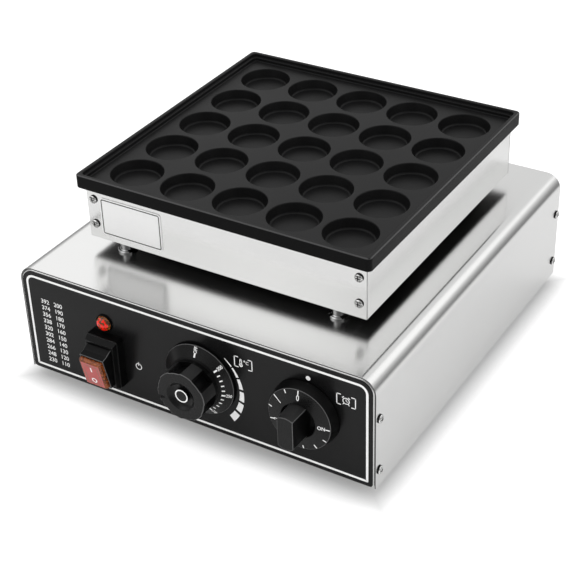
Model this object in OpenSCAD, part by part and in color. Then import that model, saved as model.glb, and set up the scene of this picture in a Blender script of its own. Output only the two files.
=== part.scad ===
// Countertop mini pancake griddle. A cast griddle with a square grid of cups lies on a sheet steel
// hearth box, which stands on four posts above a folded base with a control panel.
// Millimetres, +Z up, the control panel faces -Y, and the origin is under the middle at table height.

/* [Base] */
// Width of the base cover
base_w = 340; // [320:1:420]
// Depth of the base cover, front to rear
base_d = 356; // [330:1:440]
// Height of the base cover
base_h = 104; // [100:1:130]
// Sheet thickness of the cover, the panels and the bottom plate
sheet = 1.2; // [0.8:0.1:2]
// Outer radius of the bends along the top of the cover
bend_r = 14; // [8:1:18]
// Radius of the lower corners of the panels
panel_corner_r = 3; // [1:0.5:5]
// Depth of the flanges turned in from the cover and the panels
flange = 15; // [12:1:20]
// Gap around a panel inside the cover
panel_gap = 0.3; // [0.1:0.1:0.6]
// Thickness of the printed film on the front panel
film_t = 0.5; // [0.3:0.1:1]
// Bare steel border around the printed film
film_margin = 1.2; // [0.5:0.1:3]
// Distance of the side screws from the front and rear edges
side_screw_edge = 6; // [5:0.5:9]
// Height of the lower side screws above the lower edge of the cover
side_screw_low = 16; // [12:1:30]
// Height of the upper side screws above the lower edge of the cover
side_screw_high = 66; // [50:1:80]
// Length of the vent slots
vent_l = 36; // [20:1:50]
// Width of the vent slots
vent_w = 4; // [2:0.5:6]
// Distance between neighbouring vent slots
vent_pitch = 12; // [9:1:14]
// Middle of the rear vent slots, from the left edge of the base
rear_vent_x = 130; // [110:1:150]
// Middle of the rear vent slots, above the lower edge of the base
rear_vent_z = 62; // [50:1:64]
// Distance of the two rows of vent slots in the bottom plate from its middle
plate_vent_y = 58; // [40:1:70]

/* [Feet] */
// Height of the cover above the table
foot_h = 10; // [6:1:20]
// Radius of a foot at its top
foot_r = 12; // [10:0.5:16]
// Radius of a foot where it stands
foot_tip_r = 10; // [8:0.5:12]
// Distance of the feet from the edges of the base
foot_inset = 38; // [34:1:60]

/* [Griddle] */
// Cups along each side of the griddle
cup_count = 5; // [3:1:5]
// Distance between the middles of neighbouring cups
cup_pitch = 51; // [49:0.5:54]
// Diameter of a cup at the cooking face
cup_d = 45; // [36:0.5:46]
// Depth of a cup below the cooking face
cup_depth = 9; // [6:0.5:9]
// How much narrower a cup is at its bottom, on the radius
cup_draft = 1.6; // [0.5:0.1:3]
// Bevel around the bottom of a cup
cup_corner = 1.5; // [0.5:0.5:2.5]
// Bevel around the mouth of a cup
cup_bevel = 0.8; // [0.3:0.1:1.5]
// Metal between the outer cups and the edge of the slab
cup_margin = 4.5; // [3:0.5:8]
// Height of the outer skirt of the griddle
skirt_h = 12; // [10:0.5:16]
// How far the skirt hangs over the hearth box
skirt_over = 6; // [4:0.5:10]
// Width of the rim along its top
rim_t = 4; // [3:0.5:6]
// Depth of the cooking face below the rim
rim_depth = 6.5; // [5:0.5:8]
// Width of the step inside the rim
rim_step_w = 2; // [1:0.5:3]
// Depth of the step below the rim
rim_step_h = 3; // [1.5:0.5:4]
// Radius along the outer top edge of the rim
rim_round = 1.5; // [0.5:0.5:2.5]
// Radius of the upright outer corners of the griddle
griddle_corner_r = 4; // [2:0.5:8]
// How far the slab reaches down into the hearth
slab_drop = 6; // [5:0.5:10]

/* [Hearth] */
// Height of the hearth box
hearth_h = 48; // [46:1:70]
// Sheet thickness of the hearth box
hearth_sheet = 1; // [0.8:0.1:1.5]
// Room between the slab and the walls of the hearth
slab_gap = 3; // [2.5:0.5:6]
// How far the hearth stands behind the middle of the base
hearth_back = 8.5; // [0:0.5:20]
// Depth of the flanges along the lower edge of the hearth
hearth_flange = 20; // [18:1:26]
// Width of the upright flanges at the hearth corners
corner_flange = 14; // [12:1:18]
// Distance of the hearth screws from the ends of the plate
hearth_screw_edge = 6.8; // [5:0.2:8]
// Height of the lower hearth screws above the hearth's lower edge
hearth_screw_low = 13.5; // [10:0.5:18]
// Height of the upper hearth screws above the hearth's lower edge
hearth_screw_high = 37; // [28:0.5:38]
// Thickness of the insulation pad on the hearth floor
pad_t = 10; // [6:1:12]

/* [Posts] */
// Height of the posts between the base and the hearth
post_h = 11; // [6.5:0.5:14]
// Radius of the foot ring of a post
post_ring_r = 8.5; // [7.5:0.5:10]
// Height of the foot ring of a post
post_ring_h = 2.2; // [1.5:0.1:3]
// Radius of the neck of a post
post_neck_r = 6; // [5:0.5:7]
// Distance of the posts from the sides of the hearth
post_side = 30; // [26:1:45]
// Distance of the posts from the front and rear of the hearth
post_edge = 10; // [9.5:0.5:11]

/* [Heating] */
// Radius of the heating tube
tube_r = 4; // [3:0.5:4.5]
// Distance between neighbouring runs of the heating tube
run_pitch = 40; // [36:1:42]
// Half the length of the straight runs
run_half = 88; // [84:1:92]
// Radius of the bends that lead the tube ends down
tail_r = 10; // [8:1:12]
// Thickness of the clamp bars
bar_t = 3; // [2:0.5:4]
// Width of the clamp bars
bar_w = 14; // [12:1:18]
// Radius of the studs that hold the griddle
stud_r = 2.5; // [2:0.5:3]
// Radius of the thermostat's sensor bulb
bulb_r = 3; // [2:0.5:3.5]
// Length of the sensor bulb
bulb_l = 92; // [60:1:110]
// Outer radius of the wire sleeve
sleeve_r = 9; // [7:0.5:11]
// Distance of the wire sleeve behind the middle of the hearth
sleeve_back = 40; // [30:1:50]

/* [Control places] */
// Pilot lamp, from the left edge of the base
lamp_x = 86.5; // [84:0.5:90]
// Pilot lamp, above the lower edge of the base
lamp_z = 73.5; // [72:0.5:80]
// Power switch, from the left edge of the base
switch_x = 88; // [70:1:100]
// Power switch, above the lower edge of the base
switch_z = 40; // [34:1:42]
// Thermostat, from the left edge of the base
thermostat_x = 181; // [160:1:195]
// Thermostat, above the lower edge of the base
thermostat_z = 51.5; // [44:0.5:58]
// Timer, from the left edge of the base
timer_x = 279; // [262:1:290]
// Timer, above the lower edge of the base
timer_z = 54; // [44:0.5:58]

/* [Pilot lamp] */
// Radius of the lamp lens
lamp_r = 7; // [6.5:0.5:8]
// Height of the lamp lens in front of the panel
lamp_h = 6; // [4:0.5:8]
// Radius of the lamp barrel through the panel
lamp_barrel_r = 5.5; // [4:0.5:6]

/* [Power switch] */
// Width of the switch bezel
bezel_w = 32; // [30:1:36]
// Height of the switch bezel
bezel_h = 48; // [46:1:52]
// Thickness of the bezel's flange
bezel_t = 8; // [6:0.5:10]
// Height of the sloped crown of the bezel
crown_h = 4.5; // [3:0.5:6]
// Width of the rocker
rocker_w = 24; // [20:0.5:25]
// Radius of the rocker's ends about its pivot
rocker_r = 18; // [16:0.5:19]
// Gap between the rocker and the bezel
rocker_gap = 0.5; // [0.4:0.1:0.8]
// Angle of the rocker off the panel at each of its two positions
rocker_tilt = 13; // [8:1:14]
// Width of the rocker's lens
lens_w = 22; // [16:0.5:23]
// Length of the rocker's lens
lens_l = 29; // [22:0.5:30]
// Height of the lens face above the pivot
lens_top = 16.5; // [14:0.5:18]
// Radius of the rocker's pin
rocker_pin_r = 1.5; // [1:0.25:1.75]

/* [Knobs] */
// Radius of the thermostat knob's skirt
skirt_r = 34.5; // [30:0.5:36]
// Height of the skirt's cone where the grip starts
neck_z = 9; // [7:0.5:11]
// Radius of the thermostat knob's grip
grip_r = 23; // [20:0.5:24]
// Reach of the thermostat knob in front of the panel
grip_reach = 29.5; // [26:0.5:36]
// Radius of the dish in the face of the grip
dish_r = 13.2; // [9:0.2:16]
// Depth of the dish
dish_depth = 2.4; // [2:0.2:4]
// Flutes around the grip
flute_count = 5; // [3:1:8]
// Radius of the flute cutter
flute_r = 9; // [6:0.5:12]
// Depth of a flute where it starts, above the skirt
flute_depth = 2.8; // [1:0.1:3]
// Whole rim between the flutes and the face of the grip
flute_rim = 2; // [1:0.5:4]
// Radius of the timer knob's dial
dial_r = 30.5; // [28:0.5:33]
// Height of the timer dial in front of the panel
dial_h = 13; // [10:0.5:15]
// Radius of the hollow in the timer dial, which the bar grip crosses
hollow_r = 16; // [14:0.5:18]
// Depth of the hollow in the timer dial
hollow_depth = 6; // [3:0.5:7]
// Width of the timer's bar grip
bar_grip_w = 14; // [11:0.5:16]
// Reach of the timer knob in front of the panel
bar_reach = 32; // [24:0.5:36]
// Gap between the knobs and the panel
knob_gap = 1.2; // [0.8:0.1:2]
// Radius of the control shafts
shaft_r = 3; // [2.5:0.25:3.5]

/* [Cable gland] */
// Gland, from the left edge of the base
gland_x = 270; // [240:1:285]
// Gland, above the lower edge of the base
gland_z = 28; // [24:1:40]
// Radius of the gland's bore
gland_bore_r = 4.2; // [3:0.1:5]
// Reach of the gland behind the rear panel
gland_reach = 16; // [12:0.5:24]

/* [Hidden] */
$fn = 48;

// Clearance of a hole around a fastener, on the radius
hole_gap = 0.2;
// Running clearance of a shaft or pin in its bearing, on the radius
run_gap = 0.05;
// Clearance of a pressed seat and of a threaded fit, on the radius
seat_gap = 0.02;
// Play at the ends of a pin or shaft
end_gap = 0.3;
// Room around a piece that is fed through soft or thin material
loose_gap = 1;
// How far a cutter runs past the face it cuts
past = 1;
// Bevel on turned and moulded edges
edge = 0.8;
// Wall of the moulded pieces
mould_wall = 2.5;

// Heights of the faces that the parts share
base_top = foot_h + base_h;
hearth_low = base_top + post_h;
hearth_top = hearth_low + hearth_h;
rim_top = hearth_top + skirt_h;
cook_z = rim_top - rim_depth;
slab_low = hearth_top - slab_drop;
floor_top = hearth_low + 2 * hearth_sheet;

// The whole object is centred between the knobs in front and the gland behind
panel_reach = max(grip_reach, bar_reach) + film_t;
base_y = (panel_reach - gland_reach) / 2;
front_y = base_y - base_d / 2;
rear_y = base_y + base_d / 2;
face_y = front_y - film_t;
panel_back = film_t + sheet;

panel_w = base_w - 2 * (sheet + panel_gap);
panel_h = base_h - sheet - panel_gap;
panel_r = bend_r - sheet - panel_gap;

// The hearth and the griddle grow from the grid of cups
grid_w = (cup_count - 1) * cup_pitch + cup_d;
slab_w = grid_w + 2 * cup_margin;
hearth_w = slab_w + 2 * (slab_gap + hearth_sheet);
griddle_w = hearth_w + 2 * skirt_over;
hearth_y = base_y + hearth_back;
hearth_front_y = hearth_y - hearth_w / 2;
cup_places = [for (i = [0 : cup_count - 1]) (i - (cup_count - 1) / 2) * cup_pitch];

// M4 pan head screws of the cover and the hearth
screw_r = 2;
screw_head_r = 3.7;
screw_head_h = 2.4;
screw_dome_r = 6;
screw_l = 8;
cross_l = 4;
cross_w = 0.9;
cross_depth = 1.3;
// M6 bolts of the posts
bolt_r = 3;
bolt_head_r = 5.7;
bolt_head_h = 4;
nut_h = 4;
// M4 and M5 nuts
screw_nut_r = 4;
stud_nut_r = 4.6;
stud_depth = 7;
stud_place = 1.5 * cup_pitch;
stud_low = hearth_low - 5;

post_x = hearth_w / 2 - post_side;
post_y = hearth_w / 2 - post_edge;
run_count = 6;
tube_z = slab_low - tube_r;
bar_low = tube_z - tube_r - bar_t;
tail_l = 4;
terminal_r = 2;
terminal_l = 7;
pad_w = hearth_w - 2 * hearth_flange;
sleeve_wall = 1.5;
sleeve_low = base_top - 8;
sleeve_l = floor_top + pad_t + 1 - sleeve_low;

vent_count = 12;
foot_hole_r = 5.5;
foot_web = 4;
foot_x = base_w / 2 - foot_inset;
foot_front_y = front_y + foot_inset;
foot_rear_y = rear_y - foot_inset;
plate_low = foot_h + sheet;

lamp_flange_t = 1.2;
lamp_dome_r = 1.4 * lamp_r;
lamp_wall = 1.5;
lamp_l = 24;

// Flat blades that the wires push onto
blade_w = 6.3;
blade_t = 0.8;
blade_l = 10;

// The switch body fills a cut-out behind the bezel
bezel_r = 2.5;
crown_set = 1;
crown_wall = 1.6;
switch_w = bezel_w - 4;
switch_h = bezel_h - 7;
switch_l = 30;
well_w = rocker_w + 2 * rocker_gap;
well_h = 2 * (rocker_r + rocker_gap);
well_l = 5;
rocker_low = -6;
rocker_top = lens_top - 4;
lens_seat = lens_top - 7;
lens_bevel = 1.2;
rocker_half = lens_l / 2 + 2;
pin_bite = 2;
blade_x = 7;
blade_y = 11;

// Control bodies behind the panel
screw_span = 28;
ear_w = 18;
ear_l = 7;
case_r = 4;
thermostat_w = 34;
thermostat_l = 22;
timer_w = 44;
timer_l = 34;
plate_t = 2;
shaft_hole_r = shaft_r + 1.5;
shaft_in = panel_back + 12;
shaft_flat = 1.6;
boss_r = shaft_r + 4;
skirt_edge = 1.8;
flute_turn = 40;
flute_start = 4;
flute_l = grip_reach - flute_rim - neck_z - flute_start;
flute_out = 0.4;
hollow_slope = 5;
grip_bore = grip_reach - dish_depth - mould_wall - 2;
bar_bore = bar_reach - 8;
bar_draft = 0.5;
pointer_w = 1.4;
cap_r = 6.3;
cap_t = 1.2;
clip_l = 10;
clip_t = 1;
clip_tab = 6;

gland_y = rear_y;
gland_thread_r = 8;
gland_thread_l = 10;
gland_flange_r = 11;
gland_flange_t = 4;
gland_nut_r = 9.4;
gland_dome = 5;
gland_lip = 2;
block_x = gland_x - base_w / 2;
block_back = 70;
block_y = rear_y - block_back;
block_w = 46;
block_d = 20;
block_h = 18;
block_screw_edge = 6;
block_pitch = 9;
block_hole_l = 6;
earth_x = block_x - block_w;
earth_l = 14;
wire_r = 1.5;
lead_r = 1;
capillary_r = 1;

// Rectangle on the x axis with four round corners
module rounded(w, h, r) {
    translate([-w / 2, r]) square([w, h - 2 * r]);
    translate([-w / 2 + r, 0]) square([w - 2 * r, h]);
    for (x = [-1, 1], y = [r, h - r]) translate([x * (w / 2 - r), y]) circle(r);
}

// Rectangle on the x axis with round upper corners, and round lower corners where low_r is given
module arch(w, h, top_r, low_r = 0) {
    translate([-w / 2, low_r]) square([w, h - top_r - low_r]);
    translate([-w / 2 + top_r, low_r]) square([w - 2 * top_r, h - low_r]);
    for (x = [-1, 1]) translate([x * (w / 2 - top_r), h - top_r]) circle(top_r);
    if (low_r > 0) {
        translate([-w / 2 + low_r, 0]) square([w - 2 * low_r, h - top_r]);
        for (x = [-1, 1]) translate([x * (w / 2 - low_r), low_r]) circle(low_r);
    }
}

// Upright slot with round ends
module slot(w, l) {
    square([w, l - w], center = true);
    for (y = [-1, 1]) translate([0, y * (l - w) / 2]) circle(w / 2);
}

// Section in X and Z drawn out from y0 to y1
module along_y(y0, y1) translate([0, y1, 0]) rotate([90, 0, 0]) linear_extrude(y1 - y0) children();

// Section in Y and Z drawn out from x0 to x1
module along_x(x0, x1) translate([x0, 0, 0]) rotate([90, 0, 90]) linear_extrude(x1 - x0) children();

// Control place on the printed face: x to the right, y up, z out towards the user
module at_panel(x, z) translate([x - base_w / 2, face_y, foot_h + z]) rotate([90, 0, 0]) children();

module at_hearth() translate([0, hearth_y, 0]) children();

module at_corners(x, y) for (sx = [-1, 1], sy = [-1, 1]) translate([sx * x, sy * y, 0]) children();

// Pan head screw along z, with its head above z = 0 and a crossed recess
module pan_screw(l) difference() {
    union() {
        translate([0, 0, -l]) cylinder(r = screw_r, h = l + screw_head_h / 2);
        intersection() {
            cylinder(r = screw_head_r, h = screw_head_h);
            translate([0, 0, screw_head_h - screw_dome_r]) sphere(screw_dome_r);
        }
    }
    for (a = [0, 90]) rotate(a) translate([-cross_l / 2, -cross_w / 2, screw_head_h - cross_depth])
        cube([cross_l, cross_w, cross_depth + past]);
}

// Hexagon nut along z with its lower face on z = 0
module hex_nut(r, across_r, h) difference() {
    cylinder(r = across_r, h = h, $fn = 6);
    translate([0, 0, -past]) cylinder(r = r + seat_gap, h = h + 2 * past);
}

// Holes of the side screws through the cover and the panel flanges
module at_side_screws() for (s = [-1, 1], y = [front_y + side_screw_edge, rear_y - side_screw_edge],
    z = [side_screw_low, side_screw_high]) translate([s * base_w / 2, y, foot_h + z])
    rotate([0, s * 90, 0]) children();

module side_screw_holes() at_side_screws()
    translate([0, 0, -flange]) cylinder(r = screw_r + hole_gap, h = flange + past);

// Posts, bolts and nuts share these four places
module at_posts() at_hearth() at_corners(post_x, post_y) children();

module bolt_holes(z0, z1) at_posts() translate([0, 0, z0]) cylinder(r = bolt_r + hole_gap, h = z1 - z0);

module sleeve_hole(z0, z1, gap) at_hearth() translate([0, sleeve_back, z0])
    cylinder(r = sleeve_r + gap, h = z1 - z0);

module base_cover() color("gainsboro") difference() {
    union() {
        translate([0, 0, foot_h]) along_y(front_y, rear_y) difference() {
            arch(base_w, base_h, bend_r);
            arch(base_w - 2 * sheet, base_h - sheet, bend_r - sheet);
        }
        for (s = [0, 1]) mirror([s, 0, 0])
            translate([base_w / 2 - flange, front_y + 2 * flange, foot_h])
                cube([flange - sheet / 2, base_d - 4 * flange, sheet]);
    }
    side_screw_holes();
    bolt_holes(base_top - sheet - past, base_top + past);
    sleeve_hole(base_top - sheet - past, base_top + past, hole_gap);
}

// Cut-outs of the lamp, the switch and the two shafts, as seen from the front
module control_cutouts() {
    translate([lamp_x - base_w / 2, lamp_z]) circle(lamp_barrel_r + hole_gap);
    translate([switch_x - base_w / 2, switch_z])
        square([switch_w + 2 * hole_gap, switch_h + 2 * hole_gap], center = true);
    for (p = [[thermostat_x, thermostat_z], [timer_x, timer_z]]) translate([p.x - base_w / 2, p.y]) {
        circle(shaft_hole_r);
        for (s = [-1, 1]) translate([s * screw_span / 2, 0]) circle(screw_r + hole_gap);
    }
}

// Face of a panel with its side flanges and lower flange, outer face on y = 0
module panel_pan() {
    along_y(0, sheet) arch(panel_w, panel_h, panel_r, panel_corner_r);
    for (s = [0, 1]) mirror([s, 0, 0]) translate([panel_w / 2 - sheet, sheet / 2, 2 * panel_corner_r])
        cube([sheet, flange - sheet / 2, panel_h - panel_r - 4 * panel_corner_r]);
    translate([-panel_w / 2 + 2 * flange, sheet / 2, 0])
        cube([panel_w - 4 * flange, flange - sheet / 2, sheet]);
}

module front_panel() color("silver") difference() {
    translate([0, front_y, foot_h]) difference() {
        panel_pan();
        along_y(-past, sheet + past) control_cutouts();
    }
    side_screw_holes();
}

module panel_overlay() color("#1c1c1e") translate([0, face_y, foot_h]) along_y(0, film_t) difference() {
    translate([0, film_margin]) arch(panel_w - 2 * film_margin, panel_h - 2 * film_margin,
        panel_r - film_margin, panel_corner_r - film_margin / 2);
    control_cutouts();
}

// Upright vent slots in a row, as seen from behind
module vent_row() for (i = [0 : vent_count - 1])
    translate([(i - (vent_count - 1) / 2) * vent_pitch, 0]) slot(vent_w, vent_l);

module rear_panel() color("silver") difference() {
    translate([0, rear_y, foot_h]) mirror([0, 1, 0]) difference() {
        panel_pan();
        along_y(-past, sheet + past) {
            translate([gland_x - base_w / 2, gland_z]) circle(gland_thread_r + hole_gap);
            translate([rear_vent_x - base_w / 2, rear_vent_z]) vent_row();
        }
    }
    side_screw_holes();
}

module bottom_plate() color("silver") translate([0, 0, plate_low]) linear_extrude(sheet) difference() {
    translate([-panel_w / 2, front_y + sheet + panel_gap])
        square([panel_w, base_d - 2 * (sheet + panel_gap)]);
    for (x = [-foot_x, foot_x], y = [foot_front_y, foot_rear_y]) translate([x, y])
        circle(screw_r + hole_gap);
    for (s = [-1, 1]) translate([0, base_y + s * plate_vent_y]) vent_row();
    at_block_screws() circle(screw_r + hole_gap);
    translate([earth_x, block_y]) circle(screw_r + hole_gap);
}

module at_feet() for (x = [-foot_x, foot_x], y = [foot_front_y, foot_rear_y])
    translate([x, y, 0]) children();

module rubber_feet() color("#262626") at_feet() rotate_extrude() polygon([
    [foot_hole_r, 0], [foot_tip_r - edge, 0], [foot_tip_r, edge], [foot_r, plate_low],
    [screw_r + hole_gap, plate_low], [screw_r + hole_gap, plate_low - foot_web],
    [foot_hole_r, plate_low - foot_web]
]);

module foot_screws() color("silver") at_feet() translate([0, 0, plate_low - foot_web])
    rotate([180, 0, 0]) pan_screw(foot_web + sheet + nut_h);

module foot_nuts() color("silver") at_feet() translate([0, 0, plate_low + sheet])
    hex_nut(screw_r, screw_nut_r, nut_h - 1);

module side_screws() color("whitesmoke") at_side_screws() pan_screw(screw_l);

// Screws at the two ends of the hearth's front and rear plates
module at_hearth_screws() at_hearth() for (r = [0, 180], s = [-1, 1], z = [hearth_screw_low, hearth_screw_high])
    rotate(r) translate([s * (hearth_w / 2 - hearth_screw_edge), -hearth_w / 2, hearth_low + z])
        rotate([90, 0, 0]) children();

module hearth_screw_holes() at_hearth_screws()
    translate([0, 0, -screw_l]) cylinder(r = screw_r + hole_gap, h = screw_l + past);

// End plate of the hearth with its lower flange, which stops short of the corners
module hearth_end() translate([-hearth_w / 2, -hearth_w / 2, hearth_low]) {
    cube([hearth_w, hearth_sheet, hearth_h]);
    translate([corner_flange + hearth_sheet, hearth_sheet / 2, 0])
        cube([hearth_w - 2 * (corner_flange + hearth_sheet), hearth_flange - hearth_sheet / 2, hearth_sheet]);
}

module hearth_front() color("gainsboro") difference() {
    at_hearth() hearth_end();
    hearth_screw_holes();
    bolt_holes(hearth_low - past, floor_top);
}

module hearth_rear() color("gainsboro") difference() {
    at_hearth() rotate(180) hearth_end();
    hearth_screw_holes();
    bolt_holes(hearth_low - past, floor_top);
}

// Side panel of the hearth between the two end plates, with corner flanges and a lower flange
module hearth_side() {
    side_l = hearth_w - 2 * hearth_sheet;
    translate([hearth_w / 2 - hearth_sheet, -side_l / 2, hearth_low]) {
        cube([hearth_sheet, side_l, hearth_h]);
        for (y = [0, side_l - hearth_sheet]) translate([-corner_flange + hearth_sheet, y, hearth_sheet])
            cube([corner_flange - hearth_sheet / 2, hearth_sheet, hearth_h - hearth_sheet]);
        translate([hearth_sheet - corner_flange, hearth_flange, 0])
            cube([corner_flange - hearth_sheet / 2, side_l - 2 * hearth_flange, hearth_sheet]);
    }
}

module hearth_right() color("gainsboro") difference() {
    at_hearth() hearth_side();
    hearth_screw_holes();
}

module hearth_left() color("gainsboro") difference() {
    at_hearth() mirror([1, 0, 0]) hearth_side();
    hearth_screw_holes();
}

module hearth_floor() color("silver") difference() {
    floor_w = hearth_w - 4 * hearth_sheet - 2 * panel_gap;
    at_hearth() translate([-floor_w / 2, -floor_w / 2, hearth_low + hearth_sheet])
        cube([floor_w, floor_w, hearth_sheet]);
    bolt_holes(hearth_low, floor_top + past);
    sleeve_hole(hearth_low, floor_top + past, hole_gap);
    at_studs() translate([0, 0, hearth_low]) cylinder(r = stud_r + hole_gap, h = post_h);
    hearth_screw_holes();
}

module hearth_screws() color("whitesmoke") at_hearth_screws() pan_screw(screw_l - 2);

// Section across the griddle, with round shoulders along the outer top edge of the rim
module griddle_section() translate([0, hearth_top]) arch(griddle_w, skirt_h, rim_round);

module griddle_square(w, r, z0, z1) translate([0, 0, z0]) linear_extrude(z1 - z0)
    translate([0, -w / 2]) rounded(w, w, r);

// Hollow of one cup below the cooking face
module cup_hollow() rotate_extrude() polygon([
    [0, -cup_depth], [cup_d / 2 - cup_draft - cup_corner, -cup_depth],
    [cup_d / 2 - cup_draft, -cup_depth + cup_corner],
    [cup_d / 2, -cup_bevel], [cup_d / 2 + cup_bevel, 0], [cup_d / 2 + cup_bevel, past], [0, past]
]);

module griddle_plate() color("#2b2b2d") at_hearth() difference() {
    union() {
        intersection() {
            along_y(-griddle_w / 2, griddle_w / 2) griddle_section();
            along_x(-griddle_w / 2, griddle_w / 2) griddle_section();
            griddle_square(griddle_w, griddle_corner_r, hearth_top, rim_top);
        }
        griddle_square(slab_w, griddle_corner_r, slab_low, hearth_top + past);
    }
    griddle_square(griddle_w - 2 * rim_t, griddle_corner_r, rim_top - rim_step_h, rim_top + past);
    griddle_square(griddle_w - 2 * (rim_t + rim_step_w), griddle_corner_r, cook_z, rim_top);
    for (x = cup_places, y = cup_places) translate([x, y, cook_z]) cup_hollow();
    at_corners(stud_place, stud_place) translate([0, 0, slab_low - past])
        cylinder(r = stud_r + seat_gap, h = stud_depth + past);
}

module at_studs() at_hearth() at_corners(stud_place, stud_place) children();

module griddle_studs() color("silver") at_studs() translate([0, 0, stud_low])
    cylinder(r = stud_r, h = slab_low + stud_depth - stud_low);

module clamp_nuts() color("silver") at_studs() translate([0, 0, bar_low - nut_h])
    hex_nut(stud_r, stud_nut_r, nut_h);

module floor_nuts() color("silver") at_studs() translate([0, 0, hearth_low + hearth_sheet - nut_h])
    hex_nut(stud_r, stud_nut_r, nut_h);

module clamp_bars() color("silver") at_hearth() for (s = [-1, 1]) translate([s * stud_place, 0, bar_low])
    linear_extrude(bar_t) difference() {
        slot(bar_w, run_pitch * run_count);
        for (y = [-1, 1]) translate([0, y * stud_place]) circle(stud_r + hole_gap);
    }

// Flat winding tube under the slab: straight runs joined by half rings, with both ends led down
module heating_element() color("#5a4a42") at_hearth() translate([0, 0, tube_z]) {
    run_y = [for (i = [0 : run_count - 1]) (i - (run_count - 1) / 2) * run_pitch];
    for (y = run_y) translate([-run_half, y, 0]) rotate([0, 90, 0]) cylinder(r = tube_r, h = 2 * run_half);
    for (i = [0 : run_count - 2]) translate([(i % 2 == 0 ? 1 : -1) * run_half, (run_y[i] + run_y[i + 1]) / 2, 0])
        rotate(i % 2 == 0 ? -90 : 90) rotate_extrude(angle = 180) translate([run_pitch / 2, 0]) circle(tube_r);
    for (y = [run_y[0], run_y[run_count - 1]]) translate([-run_half, y, -tail_r]) {
        rotate([90, 0, 180]) rotate_extrude(angle = 90) translate([tail_r, 0]) circle(tube_r);
        translate([-tail_r, 0, -tail_l]) cylinder(r = tube_r, h = tail_l);
    }
}

// Places of the two tube ends
module at_tails() at_hearth() for (s = [-1, 1])
    translate([-run_half - tail_r, s * (run_count - 1) / 2 * run_pitch, tube_z - tail_r - tail_l]) children();

module element_terminals() color("goldenrod") at_tails() translate([0, 0, -terminal_l])
    cylinder(r = terminal_r, h = terminal_l);

module insulation_pad() color("ivory") difference() {
    at_hearth() translate([-pad_w / 2, -pad_w / 2, floor_top]) cube([pad_w, pad_w, pad_t]);
    at_studs() translate([0, 0, floor_top - past]) cylinder(r = stud_r + loose_gap, h = pad_t + 2 * past);
    sleeve_hole(floor_top - past, floor_top + pad_t + past, loose_gap);
}

module support_posts() color("lightgray") at_posts() translate([0, 0, base_top]) rotate_extrude() polygon([
    [bolt_r + hole_gap, 0], [post_ring_r, 0], [post_ring_r, post_ring_h - edge],
    [post_ring_r - edge, post_ring_h], [post_neck_r + edge, post_ring_h], [post_neck_r, post_ring_h + edge],
    [post_neck_r, post_h], [bolt_r + hole_gap, post_h]
]);

module post_bolts() color("silver") at_posts() {
    bolt_low = base_top - sheet - nut_h - 2;
    translate([0, 0, bolt_low]) cylinder(r = bolt_r, h = floor_top - bolt_low + past);
    translate([0, 0, floor_top]) cylinder(r = bolt_head_r, h = bolt_head_h, $fn = 6);
}

module post_nuts() color("silver") at_posts() translate([0, 0, base_top - sheet - nut_h])
    hex_nut(bolt_r, bolt_head_r, nut_h);

module wire_sleeve() color("ghostwhite") at_hearth() translate([0, sleeve_back, sleeve_low]) difference() {
    cylinder(r = sleeve_r, h = sleeve_l);
    translate([0, 0, -past]) cylinder(r = sleeve_r - sleeve_wall, h = sleeve_l + 2 * past);
}

// Domed lens of the pilot lamp
module indicator_lens() color("red") at_panel(lamp_x, lamp_z) difference() {
    union() {
        cylinder(r = lamp_r, h = lamp_flange_t);
        intersection() {
            cylinder(r = lamp_r - edge, h = lamp_h);
            translate([0, 0, lamp_h - lamp_dome_r]) sphere(lamp_dome_r);
        }
    }
    translate([0, 0, -past]) cylinder(r = lamp_barrel_r - lamp_wall, h = lamp_h - 2 * lamp_wall + past);
}

module indicator_body() color("#303030") at_panel(lamp_x, lamp_z) translate([0, 0, -lamp_l])
    difference() {
        cylinder(r = lamp_barrel_r, h = lamp_l);
        translate([0, 0, lamp_l / 2]) cylinder(r = lamp_barrel_r - lamp_wall, h = lamp_l / 2 + past);
    }

module indicator_nut() color("#303030") at_panel(lamp_x, lamp_z) translate([0, 0, -panel_back - nut_h])
    hex_nut(lamp_barrel_r, lamp_barrel_r + 2 * lamp_wall, nut_h);

// Stepped bezel: a thick flange, then a crown that slopes in towards the rocker
module switch_bezel() color("#18181a") at_panel(switch_x, switch_z) difference() {
    union() {
        linear_extrude(bezel_t) translate([0, -bezel_h / 2]) rounded(bezel_w, bezel_h, bezel_r);
        intersection() {
            rotate([90, 0, 0]) translate([0, 0, -bezel_h / 2]) linear_extrude(bezel_h)
                crown_section(bezel_w, well_w);
            rotate([90, 0, 90]) translate([0, 0, -bezel_w / 2]) linear_extrude(bezel_w)
                crown_section(bezel_h, well_h);
        }
    }
    translate([-well_w / 2, -well_h / 2, -past]) cube([well_w, well_h, bezel_t + crown_h + 2 * past]);
    translate([0, 0, bezel_t]) rotate([0, 90, 0]) translate([0, 0, -well_w / 2 - pin_bite])
        cylinder(r = rocker_pin_r + run_gap, h = well_w + 2 * pin_bite);
}

// Sloped crown between a flange of width w and a well of width v
module crown_section(w, v) polygon([
    [-w / 2 + crown_set, bezel_t], [w / 2 - crown_set, bezel_t],
    [v / 2 + crown_wall, bezel_t + crown_h], [-v / 2 - crown_wall, bezel_t + crown_h]
]);

module switch_body() color("#202022") at_panel(switch_x, switch_z) difference() {
    translate([-switch_w / 2, -switch_h / 2, -switch_l]) cube([switch_w, switch_h, switch_l]);
    translate([-well_w / 2, -well_h / 2, -well_l]) cube([well_w, well_h, well_l + past]);
}

module switch_terminals() color("goldenrod") at_panel(switch_x, switch_z)
    for (x = [-blade_x, blade_x], y = [-blade_y, 0, blade_y]) translate([x, y, -switch_l]) blade();

// Flat blade that stands out behind a control, and bites into it where they are one piece
module blade(bite = 0) translate([-blade_w / 2, -blade_t / 2, -blade_l])
    cube([blade_w, blade_t, blade_l + bite]);

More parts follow.
